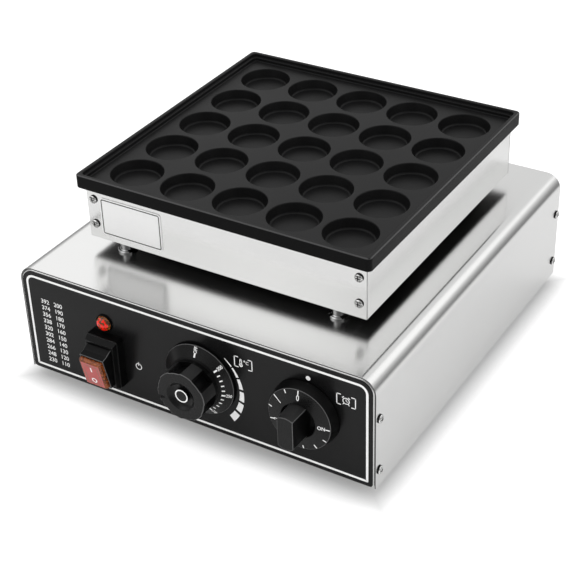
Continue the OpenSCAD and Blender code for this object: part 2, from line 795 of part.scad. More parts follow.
// The rocker is drawn level about its pin and then tipped to its rest position
module at_rocker() at_panel(switch_x, switch_z) translate([0, 0, bezel_t]) rotate([rocker_tilt, 0, 0]) children();

module rocker_frame() color("#141416") at_rocker() difference() {
    rotate([90, 0, 90]) translate([0, 0, -rocker_w / 2]) linear_extrude(rocker_w) intersection() {
        union() {
            circle(rocker_r);
            translate([-rocker_half, 0]) square([2 * rocker_half, rocker_top]);
        }
        translate([-rocker_r, rocker_low]) square([2 * rocker_r, rocker_top - rocker_low]);
    }
    translate([-lens_w / 2 - hole_gap, -lens_l / 2 - hole_gap, lens_seat])
        cube([lens_w + 2 * hole_gap, lens_l + 2 * hole_gap, rocker_top]);
    rotate([0, 90, 0]) translate([0, 0, -rocker_w]) cylinder(r = rocker_pin_r + seat_gap, h = 2 * rocker_w);
}

// Red lens of the rocker with sloped shoulders
module rocker_lens() color("crimson") at_rocker() intersection() {
    rotate([90, 0, 0]) translate([0, 0, -lens_l / 2]) linear_extrude(lens_l) lens_section(lens_w);
    rotate([90, 0, 90]) translate([0, 0, -lens_w / 2]) linear_extrude(lens_w) lens_section(lens_l);
}

module lens_section(w) polygon([
    [-w / 2, lens_seat], [w / 2, lens_seat], [w / 2, lens_top - lens_bevel], [w / 2 - lens_bevel, lens_top],
    [-w / 2 + lens_bevel, lens_top], [-w / 2, lens_top - lens_bevel]
]);

module rocker_pin() color("silver") at_rocker() rotate([0, 90, 0])
    translate([0, 0, -well_w / 2 - pin_bite + end_gap])
        cylinder(r = rocker_pin_r, h = well_w + 2 * (pin_bite - end_gap));

// Round shaft with a flat on the stretch that a knob grips
module shaft_section(gap) difference() {
    circle(shaft_r + gap);
    translate([-shaft_r - past, shaft_r - shaft_flat + gap]) square(2 * shaft_r + 2 * past);
}

module control_shaft(reach) {
    translate([0, 0, -shaft_in]) cylinder(r = shaft_r, h = shaft_in + knob_gap);
    translate([0, 0, knob_gap]) linear_extrude(reach - knob_gap) shaft_section(0);
}

// Conical skirt with a fluted grip and a dished face, hollow behind as a moulding is
module thermostat_knob() color("#1d1d1f") at_panel(thermostat_x, thermostat_z) difference() {
    inner_r = grip_r - flute_depth - mould_wall;
    roof_z = grip_bore + 2;
    rotate_extrude() polygon([
        [0, knob_gap], [boss_r, knob_gap], [boss_r, roof_z], [inner_r, roof_z], [inner_r, neck_z - mould_wall],
        [skirt_r - mould_wall, knob_gap + edge], [skirt_r - mould_wall, knob_gap], [skirt_r, knob_gap],
        [skirt_r, knob_gap + skirt_edge], [grip_r + 2 * edge, neck_z - edge], [grip_r + edge, neck_z],
        [grip_r, neck_z], [grip_r, grip_reach - edge], [grip_r - edge, grip_reach], [dish_r, grip_reach],
        [cap_r + end_gap, grip_reach - dish_depth], [0, grip_reach - dish_depth]
    ]);
    for (i = [0 : flute_count - 1]) rotate(flute_turn + i * 360 / flute_count)
        translate([grip_r + flute_r - flute_depth, 0, neck_z + flute_start])
            cylinder(r1 = flute_r, r2 = flute_r - flute_depth - flute_out,
                h = flute_l * (1 + flute_out / flute_depth));
    translate([0, 0, knob_gap - past]) linear_extrude(grip_bore - knob_gap + past) shaft_section(seat_gap);
}

module knob_cap() color("#2a2a2c") at_panel(thermostat_x, thermostat_z)
    translate([0, 0, grip_reach - dish_depth]) rotate_extrude()
        polygon([[0, 0], [cap_r, 0], [cap_r, cap_t - end_gap], [cap_r - end_gap, cap_t], [0, cap_t]]);

module thermostat_shaft() color("silver") at_panel(thermostat_x, thermostat_z)
    control_shaft(grip_bore - end_gap);

// Mounting plate and case of a control, with the bearing of its shaft and two threaded holes
module control_body(w, l) difference() {
    union() {
        translate([-screw_span / 2 - ear_l, -ear_w / 2, -panel_back - plate_t])
            cube([screw_span + 2 * ear_l, ear_w, plate_t]);
        translate([0, -w / 2, -panel_back - plate_t - l]) linear_extrude(l + plate_t / 2)
            rounded(w, w, case_r);
        for (s = [-1, 1]) translate([s * w / 4, w / 4, -panel_back - plate_t - l]) blade(past);
    }
    translate([0, 0, -shaft_in - end_gap]) cylinder(r = shaft_r + run_gap, h = shaft_in + past);
    for (s = [-1, 1]) translate([s * screw_span / 2, 0, -panel_back - screw_l])
        cylinder(r = screw_r + seat_gap, h = screw_l + past);
}

module control_screws() for (s = [-1, 1]) translate([s * screw_span / 2, 0, 0])
    pan_screw(panel_back + screw_l - 2);

module thermostat_body() color("#d8d4c8") at_panel(thermostat_x, thermostat_z)
    control_body(thermostat_w, thermostat_l);

module thermostat_screws() color("silver") at_panel(thermostat_x, thermostat_z) control_screws();

// Dial with steep sides, a hollow in its face and a bar grip that crosses the hollow
module timer_knob() color("#1d1d1f") at_panel(timer_x, timer_z) difference() {
    hollow_z = dial_h - hollow_depth;
    under_z = hollow_z - mould_wall;
    union() {
        rotate_extrude() polygon([
            [0, knob_gap], [boss_r, knob_gap], [boss_r, under_z], [hollow_r + mould_wall, under_z],
            [hollow_r + mould_wall, dial_h - mould_wall], [dial_r - mould_wall, dial_h - mould_wall],
            [dial_r - mould_wall, knob_gap], [dial_r, knob_gap], [dial_r - edge / 2, dial_h - edge],
            [dial_r - 2 * edge, dial_h], [hollow_r, dial_h], [hollow_r - hollow_slope, hollow_z], [0, hollow_z]
        ]);
        intersection() {
            translate([0, 0, hollow_z - past]) cylinder(r = hollow_r, h = bar_reach - hollow_z + past);
            rotate([90, 0, 0]) translate([0, 0, -hollow_r]) linear_extrude(2 * hollow_r) polygon([
                [-bar_grip_w / 2, hollow_z - past], [bar_grip_w / 2, hollow_z - past],
                [bar_grip_w / 2 - bar_draft, bar_reach - edge], [bar_grip_w / 2 - bar_draft - edge, bar_reach],
                [-bar_grip_w / 2 + bar_draft + edge, bar_reach], [-bar_grip_w / 2 + bar_draft, bar_reach - edge]
            ]);
        }
    }
    translate([-pointer_w / 2, hollow_r / 3, bar_reach - edge]) cube([pointer_w, hollow_r, edge + past]);
    translate([0, 0, knob_gap - past]) linear_extrude(bar_bore - knob_gap + past) shaft_section(seat_gap);
}

module timer_shaft() color("silver") at_panel(timer_x, timer_z) control_shaft(bar_bore - end_gap);

module timer_body() color("#d8d4c8") at_panel(timer_x, timer_z) control_body(timer_w, timer_l);

module timer_screws() color("silver") at_panel(timer_x, timer_z) control_screws();

// Sensor bulb under the slab, between the two middle runs of the heating tube
module sensor_bulb() color("peru") at_hearth() translate([-bulb_l / 2, 0, slab_low - bulb_r - hole_gap])
    rotate([0, 90, 0]) cylinder(r = bulb_r, h = bulb_l);

module bulb_clip() color("silver") at_hearth() for (x = [-bulb_l / 4, bulb_l / 4])
    translate([0, 0, slab_low - bulb_r - hole_gap]) along_x(x - clip_l / 2, x + clip_l / 2) {
        clip_r = bulb_r + hole_gap;
        difference() {
            circle(clip_r + clip_t);
            circle(clip_r);
            translate([-2 * clip_r, 0]) square(4 * clip_r);
        }
        for (s = [0, 1]) mirror([s, 0]) {
            translate([clip_r, 0]) square([clip_t, clip_r]);
            translate([clip_r + clip_t, clip_r - clip_t]) square([clip_tab, clip_t]);
        }
    }

// Block that takes the mains wires, on the bottom plate in front of the gland
module at_block_screws() for (s = [-1, 1]) translate([block_x + s * (block_w / 2 - block_screw_edge), block_y])
    children();

module terminal_block() color("ivory") difference() {
    translate([block_x - block_w / 2, block_y - block_d / 2, plate_low + sheet])
        cube([block_w, block_d, block_h]);
    at_block_screws() translate([0, 0, plate_low]) cylinder(r = screw_r + hole_gap, h = block_h + 3 * sheet);
    for (i = [-1, 0, 1], s = [0, 1])
        translate([block_x + i * block_pitch, block_y, plate_low + sheet + block_h / 2]) mirror([0, s, 0])
            translate([0, -block_d / 2 - past, 0]) rotate([-90, 0, 0])
                cylinder(r = wire_r + hole_gap, h = block_hole_l + past);
}

module block_screws() color("silver") at_block_screws() translate([0, 0, plate_low + sheet + block_h])
    pan_screw(block_h + sheet + 3);

module earth_stud() color("goldenrod") translate([earth_x, block_y, plate_low]) {
    cylinder(r = screw_r, h = earth_l);
    translate([0, 0, sheet]) cylinder(r = screw_nut_r, h = nut_h, $fn = 6);
}

// Cable gland through the rear panel: flange, thread and domed nut around a straight bore
module cable_gland() color("#1b1b1b") translate([gland_x - base_w / 2, gland_y, foot_h + gland_z])
    rotate([-90, 0, 0]) difference() {
        union() {
            translate([0, 0, -gland_thread_l]) cylinder(r = gland_thread_r, h = gland_thread_l + past);
            cylinder(r = gland_flange_r, h = gland_flange_t, $fn = 6);
            rotate_extrude() polygon([
                [0, past], [gland_nut_r, past], [gland_nut_r, gland_reach - gland_dome],
                [gland_bore_r + gland_lip, gland_reach], [0, gland_reach]
            ]);
        }
        translate([0, 0, -gland_thread_l - past])
            cylinder(r = gland_bore_r, h = gland_thread_l + gland_reach + 2 * past);
    }

module gland_locknut() color("#1b1b1b") translate([gland_x - base_w / 2, gland_y - sheet, foot_h + gland_z])
    rotate([90, 0, 0]) hex_nut(gland_thread_r, gland_flange_r, nut_h);

// Tube swept along a route of points
function unit(v) = v / norm(v);
function heading(p, i) = unit(p[min(i + 1, len(p) - 1)] - p[max(i - 1, 0)]);
function carried(n, t) = unit(n - (n * t) * t);
function aside(t) = unit(cross(t, abs(t.z) < 0.9 ? [0, 0, 1] : [1, 0, 0]));
function side_axes(p) = [
    for (i = 0, n = aside(heading(p, 0)); i < len(p);
        i = i + 1, n = i < len(p) ? carried(n, heading(p, i)) : n) n
];
function cut_corners(p) = [
    p[0],
    for (i = [0 : len(p) - 2]) each [p[i] * 0.75 + p[i + 1] * 0.25, p[i] * 0.25 + p[i + 1] * 0.75],
    p[len(p) - 1]
];

module swept(route, r, sides = 8) {
    p = cut_corners(cut_corners(route));
    n = side_axes(p);
    rings = [
        for (i = [0 : len(p) - 1], k = [0 : sides - 1])
            p[i] + r * (cos(k * 360 / sides) * n[i] + sin(k * 360 / sides) * cross(heading(p, i), n[i]))
    ];
    walls = [
        for (i = [0 : len(p) - 2], k = [0 : sides - 1]) each [
            [i * sides + k, i * sides + (k + 1) % sides, (i + 1) * sides + k],
            [(i + 1) * sides + k, i * sides + (k + 1) % sides, (i + 1) * sides + (k + 1) % sides]
        ]
    ];
    ends = [
        for (k = [1 : sides - 2]) each [
            [0, k + 1, k],
            [(len(p) - 1) * sides, (len(p) - 1) * sides + k, (len(p) - 1) * sides + k + 1]
        ]
    ];
    polyhedron([for (q = rings) q], [for (f = concat(walls, ends)) [f[0], f[2], f[1]]]);
}

// Points that the wires and the capillary share
sleeve_y = hearth_y + sleeve_back;
sleeve_top = sleeve_low + sleeve_l;
lead_z = floor_top + pad_t + 2 * wire_r;
tail_x = -run_half - tail_r;
tail_y = (run_count - 1) / 2 * run_pitch;
tail_end = tube_z - tail_r - tail_l - terminal_l;
thermostat_c = [thermostat_x - base_w / 2, front_y + sheet + plate_t + thermostat_l, foot_h + thermostat_z];
timer_c = [timer_x - base_w / 2, front_y + sheet + plate_t + timer_l, foot_h + timer_z];
switch_c = [switch_x - base_w / 2, face_y + switch_l + blade_l, foot_h + switch_z];
lamp_c = [lamp_x - base_w / 2, face_y + lamp_l, foot_h + lamp_z];
block_c = [block_x, block_y - block_d / 2 + block_hole_l, plate_low + sheet + block_h / 2];

// From the tube ends along the pad, down the sleeve and on to the timer
module element_wires() color("white") for (s = [-1, 1]) swept([
    [tail_x, hearth_y + s * tail_y, tail_end], [tail_x, hearth_y + s * tail_y, lead_z],
    [tail_x + 40, hearth_y + s * tail_y, lead_z], [-34, sleeve_y - 5 + s * 20, lead_z],
    [-4, sleeve_y + s * 3.5, sleeve_top + 6], [-3, sleeve_y + s * 3.5, sleeve_top - 4],
    [-3, sleeve_y + s * 3.5, sleeve_low], [-3, sleeve_y + s * 3.5, sleeve_low - 20],
    [s * 8 + 20, sleeve_y - 40, timer_c.z + 30], timer_c + [s * timer_w / 4, 60, 20],
    timer_c + [s * timer_w / 4, blade_l + 12, timer_w / 4], timer_c + [s * timer_w / 4, blade_l, timer_w / 4]
], wire_r);

// Mains to the switch, switch to the thermostat, two lamp leads and the earth wire
module control_wires() color("firebrick") {
    swept([
        block_c, block_c + [0, -20, 0], [block_x - 60, block_y - 80, plate_low + 20],
        [switch_c.x + 40, switch_c.y + 70, plate_low + 20], switch_c + [blade_x, 30, 0], switch_c + [blade_x, 0, 0]
    ], wire_r);
    swept([
        switch_c + [-blade_x, 0, blade_y], switch_c + [-blade_x, 14, blade_y], switch_c + [30, 40, 25],
        thermostat_c + [-40, 40, 20], thermostat_c + [-thermostat_w / 4, 25, thermostat_w / 4],
        thermostat_c + [-thermostat_w / 4, blade_l, thermostat_w / 4]
    ], wire_r);
    swept([
        lamp_c + [2.5, 0, 0], lamp_c + [2.5, 18, 0], switch_c + [blade_x, 20, 30],
        switch_c + [blade_x, 14, blade_y], switch_c + [blade_x, 0, blade_y]
    ], lead_r, 6);
    swept([
        lamp_c + [-2.5, 0, 0], lamp_c + [-2.5, 28, 0], switch_c + [-blade_x - 8, 30, 22],
        switch_c + [-blade_x, 14, 0], switch_c + [-blade_x, 0, 0]
    ], lead_r, 6);
    swept([
        block_c + [-block_pitch, 0, 0], block_c + [-block_pitch, -16, 0], [earth_x + 16, block_y - 18, block_c.z],
        [earth_x + 12, block_y, plate_low + sheet + nut_h / 2],
        [earth_x + screw_nut_r, block_y, plate_low + sheet + nut_h / 2]
    ], wire_r);
}

// From the bulb down between two runs of the heating tube, through the sleeve to the thermostat
module capillary_tube() color("peru") swept([
    [bulb_l / 2, hearth_y, slab_low - bulb_r - hole_gap], [bulb_l / 2 + 12, hearth_y, slab_low - bulb_r - hole_gap],
    [bulb_l / 2 + 14, hearth_y, bar_low - 8], [bulb_l / 2 + 6, hearth_y + 10, lead_z],
    [24, sleeve_y, lead_z], [5, sleeve_y, sleeve_top + 5], [4, sleeve_y, sleeve_top - 4],
    [4, sleeve_y, sleeve_low], [4, sleeve_y, sleeve_low - 40],
    thermostat_c + [10, 90, 10], thermostat_c + [0, 30, -8], thermostat_c + [0, 0, -8]
], capillary_r, 6);

base_cover();
front_panel();
panel_overlay();
rear_panel();
bottom_plate();
rubber_feet();
foot_screws();
foot_nuts();
side_screws();
hearth_front();
hearth_rear();
hearth_left();
hearth_right();
hearth_floor();
hearth_screws();
griddle_plate();
griddle_studs();
clamp_nuts();
floor_nuts();
clamp_bars();
heating_element();
element_terminals();
insulation_pad();
support_posts();
post_bolts();
post_nuts();
wire_sleeve();
indicator_lens();
indicator_body();
indicator_nut();
switch_bezel();
switch_body();
switch_terminals();
rocker_frame();
rocker_lens();
rocker_pin();
thermostat_knob();
knob_cap();
thermostat_shaft();
thermostat_body();
thermostat_screws();
sensor_bulb();
bulb_clip();
capillary_tube();
timer_knob();
timer_shaft();
timer_body();
timer_screws();
terminal_block();
block_screws();
cable_gland();
gland_locknut();
earth_stud();
element_wires();
control_wires();
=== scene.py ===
import math
import bmesh
import bpy
from mathutils import Matrix, Vector


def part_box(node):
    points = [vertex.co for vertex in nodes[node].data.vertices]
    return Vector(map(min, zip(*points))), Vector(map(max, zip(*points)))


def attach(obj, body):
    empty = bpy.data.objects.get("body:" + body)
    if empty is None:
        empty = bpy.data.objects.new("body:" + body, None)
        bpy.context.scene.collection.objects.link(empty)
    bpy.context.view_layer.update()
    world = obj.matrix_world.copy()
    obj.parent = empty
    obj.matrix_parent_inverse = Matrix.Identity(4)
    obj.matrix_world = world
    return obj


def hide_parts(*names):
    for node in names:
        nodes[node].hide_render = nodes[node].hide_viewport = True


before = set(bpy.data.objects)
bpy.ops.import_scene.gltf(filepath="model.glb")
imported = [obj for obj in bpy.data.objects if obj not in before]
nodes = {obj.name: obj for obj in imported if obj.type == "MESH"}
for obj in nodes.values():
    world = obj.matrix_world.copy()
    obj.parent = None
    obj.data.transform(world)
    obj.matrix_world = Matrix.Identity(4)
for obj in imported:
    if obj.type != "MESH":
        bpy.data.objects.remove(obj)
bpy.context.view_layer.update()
scene = bpy.context.scene
scene.view_settings.view_transform = "Standard"


# Studio: a white floor and surround with soft lamps, as for a catalogue. The floor glows less close to the
# machine, a painted shadow, and mirrors see it pale close by and dark further off, a painted reflection.
# The camera stands at the photograph's viewing angle, off the right end of the control panel.
# Two lamps light the machine without showing in its steel, which would clip to white.
AZIMUTH, ELEVATION, ROLL = math.radians(32.084), math.radians(33.287), math.radians(1.923)
DISTANCE, LEFT_SHIFT, DOWN_SHIFT = 1.256204, 0.016345, 0.12431
LENS, SENSOR, FAR_CLIP = 91.78, 36, 50
aim = Vector((0, 0.02175, 0.182))
back = Vector((math.sin(AZIMUTH) * math.cos(ELEVATION), -math.cos(AZIMUTH) * math.cos(ELEVATION),
               math.sin(ELEVATION)))
level_right = Vector((math.cos(AZIMUTH), math.sin(AZIMUTH), 0))
level_up = back.cross(level_right)
right = level_right * math.cos(ROLL) - level_up * math.sin(ROLL)
up = level_right * math.sin(ROLL) + level_up * math.cos(ROLL)
camera = bpy.data.objects.new("camera", bpy.data.cameras.new("camera"))
camera.data.lens = LENS
camera.data.sensor_width = SENSOR
camera.data.clip_end = FAR_CLIP
stand = aim - LEFT_SHIFT * right - DOWN_SHIFT * up + DISTANCE * back
camera.matrix_world = Matrix.Translation(stand) @ Matrix((right, up, back)).transposed().to_4x4()
scene.collection.objects.link(camera)
scene.camera = camera


def add_node(tree, kind, mode="", *by_order, **by_name):
    """Adds a shader node, whose inputs are given by order or by name.

    An input is a plain value, a socket to link, or a node whose first output is linked."""
    node = tree.nodes.new("ShaderNode" + kind)
    if mode:
        setattr(node, "interpolation_type" if kind == "MapRange" else "operation", mode)
    named = [(name.replace("_", " "), given) for name, given in by_name.items()]
    for key, given in [*enumerate(by_order), *named]:
        if isinstance(given, bpy.types.Node):
            given = given.outputs[0]
        if isinstance(given, bpy.types.NodeSocket):
            tree.links.new(given, node.inputs[key])
        else:
            node.inputs[key].default_value = given
    return node


AMBIENT, LOW_REFLECTION, DARK_ROOM = 0.9, 0.4, 0.3
REFLECTION_LOW, REFLECTION_HIGH = 0.03, 0.42
ROOM_EDGE, ROOM_MIDDLE = 0.72, 0.97
world = bpy.data.worlds.new("white_surround")
world.use_nodes = True
scene.world = world
sky = world.node_tree
path = add_node(sky, "LightPath").outputs
direction = add_node(sky, "TexCoord").outputs["Generated"]
height = add_node(sky, "SeparateXYZ", "", direction).outputs["Z"]
reflection = add_node(sky, "MapRange", "SMOOTHSTEP", height, REFLECTION_LOW, REFLECTION_HIGH, LOW_REFLECTION)
toward_room = add_node(sky, "VectorMath", "DOT_PRODUCT", direction, back).outputs["Value"]
dark_room = add_node(sky, "MapRange", "SMOOTHSTEP", toward_room, ROOM_EDGE, ROOM_MIDDLE, 1, DARK_ROOM)
mirrored = add_node(sky, "Math", "MULTIPLY", reflection, dark_room)
lighting = add_node(sky, "MapRange", "", path["Is Glossy Ray"], 0, 1, AMBIENT, mirrored)
seen_straight = add_node(sky, "Math", "MAXIMUM", path["Is Camera Ray"], path["Is Transmission Ray"])
strength = add_node(sky, "MapRange", "", seen_straight, 0, 1, lighting)
sky.nodes["Background"].inputs["Color"].default_value = (1, 1, 1, 1)
sky.links.new(strength.outputs["Result"], sky.nodes["Background"].inputs["Strength"])


def soft_lamp(name, place, size, power, mirrored=True):
    lamp = bpy.data.objects.new(name, bpy.data.lights.new(name, "AREA"))
    lamp.data.shape = "RECTANGLE"
    lamp.data.size, lamp.data.size_y = size
    lamp.data.energy = power
    lamp.location = place
    lamp.rotation_mode = "QUATERNION"
    lamp.rotation_quaternion = (Vector(place) - aim).to_track_quat("Z", "Y")
    lamp.visible_glossy = mirrored
    scene.collection.objects.link(lamp)


soft_lamp("front_left_lamp", (-1.2, -1.4, 1.6), (1.2, 1.0), 3.0)
soft_lamp("right_lamp", (1.7, -0.4, 1.0), (1.0, 1.0), 6.0, mirrored=False)
soft_lamp("top_lamp", (-0.2, 0.5, 1.9), (1.6, 1.0), 5.0, mirrored=False)
soft_lamp("rear_left_lamp", (-1.35, 1.3, 1.3), (0.9, 0.7), 0.8)
soft_lamp("rear_right_lamp", (0.95, 1.3, 1.2), (0.9, 0.9), 1.3)

FLOOR_HALF, FLOOR_ROUGH, FLOOR_TONE = 8, 0.9, 0.48
FOOTPRINT_MIDDLE, FOOTPRINT_HALF = (0, 0.00825, 0), (0.17, 0.178, 0)
PAINTED_MIRROR_NEAR, PAINTED_MIRROR_FAR, NEAR_TONE, FAR_TONE = 0.2, 0.5, 0.97, 0.3
SHADOW_IN, SHADOW_OUT, SHADOW_GLOW, OPEN_GLOW = -0.006, 0.023, 0.2, 0.74
floor_mesh = bmesh.new()
bmesh.ops.create_grid(floor_mesh, x_segments=1, y_segments=1, size=FLOOR_HALF)
floor_data = bpy.data.meshes.new("floor")
floor_mesh.to_mesh(floor_data)
floor = bpy.data.objects.new("floor", floor_data)
floor_paint = bpy.data.materials.new("floor_paint")
floor_paint.use_nodes = True
paint = floor_paint.node_tree
floor_shader = paint.nodes["Principled BSDF"]
floor_shader.inputs["Roughness"].default_value = FLOOR_ROUGH
floor_shader.inputs["Specular IOR Level"].default_value = 0.0
floor_shader.inputs["Emission Color"].default_value = (1, 1, 1, 1)
floor_path = add_node(paint, "LightPath").outputs
floor_place = add_node(paint, "TexCoord").outputs["Object"]
from_middle = add_node(paint, "VectorMath", "SUBTRACT", floor_place, FOOTPRINT_MIDDLE)
aside = add_node(paint, "VectorMath", "ABSOLUTE", from_middle)
beyond = add_node(paint, "VectorMath", "SUBTRACT", aside, FOOTPRINT_HALF)
beyond_sides = add_node(paint, "SeparateXYZ", "", beyond).outputs
distance = add_node(paint, "Math", "MAXIMUM", beyond_sides["X"], beyond_sides["Y"])
# Mirror rays see the floor pale close to the machine and dark further off: a painted reflection.
mirrored_distance = add_node(paint, "Math", "MULTIPLY", distance, floor_path["Is Glossy Ray"])
painted_mirror_tone = add_node(paint, "MapRange", "SMOOTHSTEP", mirrored_distance, PAINTED_MIRROR_NEAR, PAINTED_MIRROR_FAR, NEAR_TONE,
                   FAR_TONE)
floor_colour = add_node(paint, "MapRange", "", floor_path["Is Camera Ray"], 0, 1, painted_mirror_tone, FLOOR_TONE)
# The floor glows less close to the machine: a painted shadow round its foot.
painted_shadow_glow = add_node(paint, "MapRange", "SMOOTHSTEP", distance, SHADOW_IN, SHADOW_OUT, SHADOW_GLOW, OPEN_GLOW)
seen_painted_shadow = add_node(paint, "Math", "MULTIPLY", painted_shadow_glow, floor_path["Is Camera Ray"])
paint.links.new(floor_colour.outputs["Result"], floor_shader.inputs["Base Color"])
paint.links.new(seen_painted_shadow.outputs[0], floor_shader.inputs["Emission Strength"])
floor_data.materials.append(floor_paint)
scene.collection.objects.link(floor)


# Base: a stainless sheet folded into an inverted U, with a pan-shaped panel screwed into each end.
# The sheet is drawn across the machine, so its fine grain runs from left to right and
# stretches what it mirrors from front to rear.
GRAIN_DETAIL, CLOUD_DETAIL = 4, 2
DRIFT_LOW, DRIFT_HIGH = 0.3, 0.7
SHARP, SHADED_SHARP = math.radians(25), math.radians(35)
detail = bpy.data.node_groups.new("surface_detail", "ShaderNodeTree")
for name, way, kind in (("Grain Scale", "INPUT", "Vector"), ("Cloud Scale", "INPUT", "Float"),
                        ("Grain", "OUTPUT", "Float"), ("Cloud", "OUTPUT", "Float")):
    detail.interface.new_socket(name, in_out=way, socket_type="NodeSocket" + kind)
detail_in = detail.nodes.new("NodeGroupInput").outputs
detail_out = detail.nodes.new("NodeGroupOutput").inputs
detail_place = add_node(detail, "TexCoord").outputs["Object"]
stretch = add_node(detail, "VectorMath", "MULTIPLY", detail_place, detail_in["Grain Scale"])
grain_noise = add_node(detail, "TexNoise", Vector=stretch, Scale=1, Detail=GRAIN_DETAIL)
cloud_noise = add_node(detail, "TexNoise", Vector=detail_place, Scale=detail_in["Cloud Scale"],
                       Detail=CLOUD_DETAIL)
detail.links.new(grain_noise.outputs["Fac"], detail_out["Grain"])
detail.links.new(cloud_noise.outputs["Fac"], detail_out["Cloud"])


def finish(name, dark, light, smooth, rough, grain, cloud, metallic=0.0, bump=0.0, spread=0.2, **constants):
    """A material whose colour and roughness drift with its grain and with broad clouds.

    One number as grain means an even grain, and a small spread makes it speckled."""
    made = bpy.data.materials.new(name)
    made.use_nodes = True
    tree = made.node_tree
    shader = tree.nodes["Principled BSDF"]
    for socket, value in {"Metallic": metallic, **constants}.items():
        shader.inputs[socket.replace("_", " ")].default_value = value
    marks = tree.nodes.new("ShaderNodeGroup")
    marks.node_tree = detail
    marks.inputs["Grain Scale"].default_value = grain if isinstance(grain, tuple) else (grain, grain, grain)
    marks.inputs["Cloud Scale"].default_value = cloud
    half_cloud = add_node(tree, "Math", "MULTIPLY", marks.outputs["Cloud"], 0.5)
    drift = add_node(tree, "Math", "MULTIPLY_ADD", marks.outputs["Grain"], 0.5, half_cloud)
    tone = add_node(tree, "ValToRGB", "", drift)
    for stop, colour, side in zip(tone.color_ramp.elements[:], (dark, light), (-1, 1)):
        stop.position = 0.5 + side * spread
        stop.color = (*colour, 1)
    gloss = add_node(tree, "MapRange", "", drift, DRIFT_LOW, DRIFT_HIGH, smooth, rough)
    tree.links.new(tone.outputs["Color"], shader.inputs["Base Color"])
    tree.links.new(gloss.outputs["Result"], shader.inputs["Roughness"])
    if bump:
        relief = add_node(tree, "Bump", Distance=bump, Height=marks.outputs["Grain"])
        tree.links.new(relief.outputs["Normal"], shader.inputs["Normal"])
    return made


def coat(material, *names):
    """Gives CAD nodes their finish."""
    for name in names:
        slots = nodes[name].data.materials
        slots.clear()
        slots.append(material)


def add_piece(name, mesh, body, slot, *materials):
    """Makes a finished mesh a piece of the object that rides on a body."""
    data = bpy.data.meshes.new(name)
    mesh.to_mesh(data)
    mesh.free()
    for material in materials:
        data.materials.append(material)
    data.shade_smooth()
    data.set_sharp_from_angle(angle=SHADED_SHARP)
    piece = bpy.data.objects.new(name, data)
    scene.collection.objects.link(piece)
    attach(piece, body)
    return piece


def stand_in(node, name, mesh, body, slot, *materials):
    """Adds a piece that is shown in place of a CAD node, with its flat faces shaded flat."""
    piece = add_piece(name, mesh, body, slot, *materials)
    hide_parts(node)
    piece.modifiers.new("flat_faces_stay_flat", "WEIGHTED_NORMAL").keep_sharp = True


def round_edges(mesh, edges, r, material=-1):
    bmesh.ops.bevel(mesh, geom=edges, offset=r, offset_type="OFFSET", segments=2, profile=0.5, affect="EDGES",
                    material=material, clamp_overlap=True)


def rounded_copy(node, r, chosen=lambda edge, middle: True, material=-1):
    """A merged copy of a CAD node, with its chosen sharp edges rounded. The middle is in millimetres."""
    mesh = bmesh.new()
    mesh.from_mesh(nodes[node].data)
    bmesh.ops.remove_doubles(mesh, verts=mesh.verts, dist=1e-6)
    bmesh.ops.dissolve_limit(mesh, angle_limit=math.radians(1), verts=mesh.verts, edges=mesh.edges)
    sharp = [e for e in mesh.edges if len(e.link_faces) == 2 and e.calc_face_angle() > SHARP
             and chosen(e, (e.verts[0].co + e.verts[1].co) * 500)]
    round_edges(mesh, sharp, r / 1000, material)
    return mesh


STEEL_DARK, STEEL_LIGHT = (0.62, 0.62, 0.615), (0.68, 0.68, 0.675)
COVER_ROUND, END_REACH, FACING = 0.4, 0.1, 0.9
cover_low, cover_high = (Vector(corner) * 1000 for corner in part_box("base_cover"))
cover_steel = finish("cover_steel", STEEL_DARK, STEEL_LIGHT, 0.19, 0.22, (25, 4000, 25), 7, 1.0, 3e-7,
                     Anisotropic=0.75)
cut_edge_and_seam_shade = finish("cut_edge_and_seam_shade", (0.1, 0.1, 0.1), (0.16, 0.16, 0.16), 0.4, 0.55, (4000, 900, 900), 60, 1.0)
across_grain = add_node(cover_steel.node_tree, "CombineXYZ", Y=1)
cover_shader = cover_steel.node_tree.nodes["Principled BSDF"]
cover_steel.node_tree.links.new(across_grain.outputs[0], cover_shader.inputs["Tangent"])
cover = rounded_copy("base_cover", COVER_ROUND,
                     lambda e, m: m.y < cover_low.y + END_REACH or m.y > cover_high.y - END_REACH)
# The cover's end faces are painted dark: partly the duller cut steel, partly painted shade in the seam beside
# the panels.
for face in cover.faces:
    if abs(face.normal.y) > FACING:
        face.material_index = 1
stand_in("base_cover", "folded_cover", cover, "griddle", "stainless", cover_steel, cut_edge_and_seam_shade)

# Front and rear panels: stainless pans folded back along their sides and lower edge, with round bends.
# Each fills an end of the cover, and its side flanges take the side screws.
PANEL_BEND, PANEL_RIM, PANEL_FACE = 1.0, 5.0, 0.05
LEVEL_GRAIN = (25, 25, 4000)
panel_low, panel_high = (Vector(corner) * 1000 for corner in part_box("front_panel"))
panel_steel = finish("panel_steel", STEEL_DARK, STEEL_LIGHT, 0.14, 0.18, LEVEL_GRAIN, 9, 1.0, 3e-7)
pan = rounded_copy("front_panel", PANEL_BEND, lambda e, m: m.y < panel_low.y + PANEL_FACE and min(
    m.x - panel_low.x, panel_high.x - m.x, m.z - panel_low.z, panel_high.z - m.z) < PANEL_RIM)
stand_in("front_panel", "front_pan", pan, "griddle", "stainless", panel_steel)
coat(panel_steel, "rear_panel")
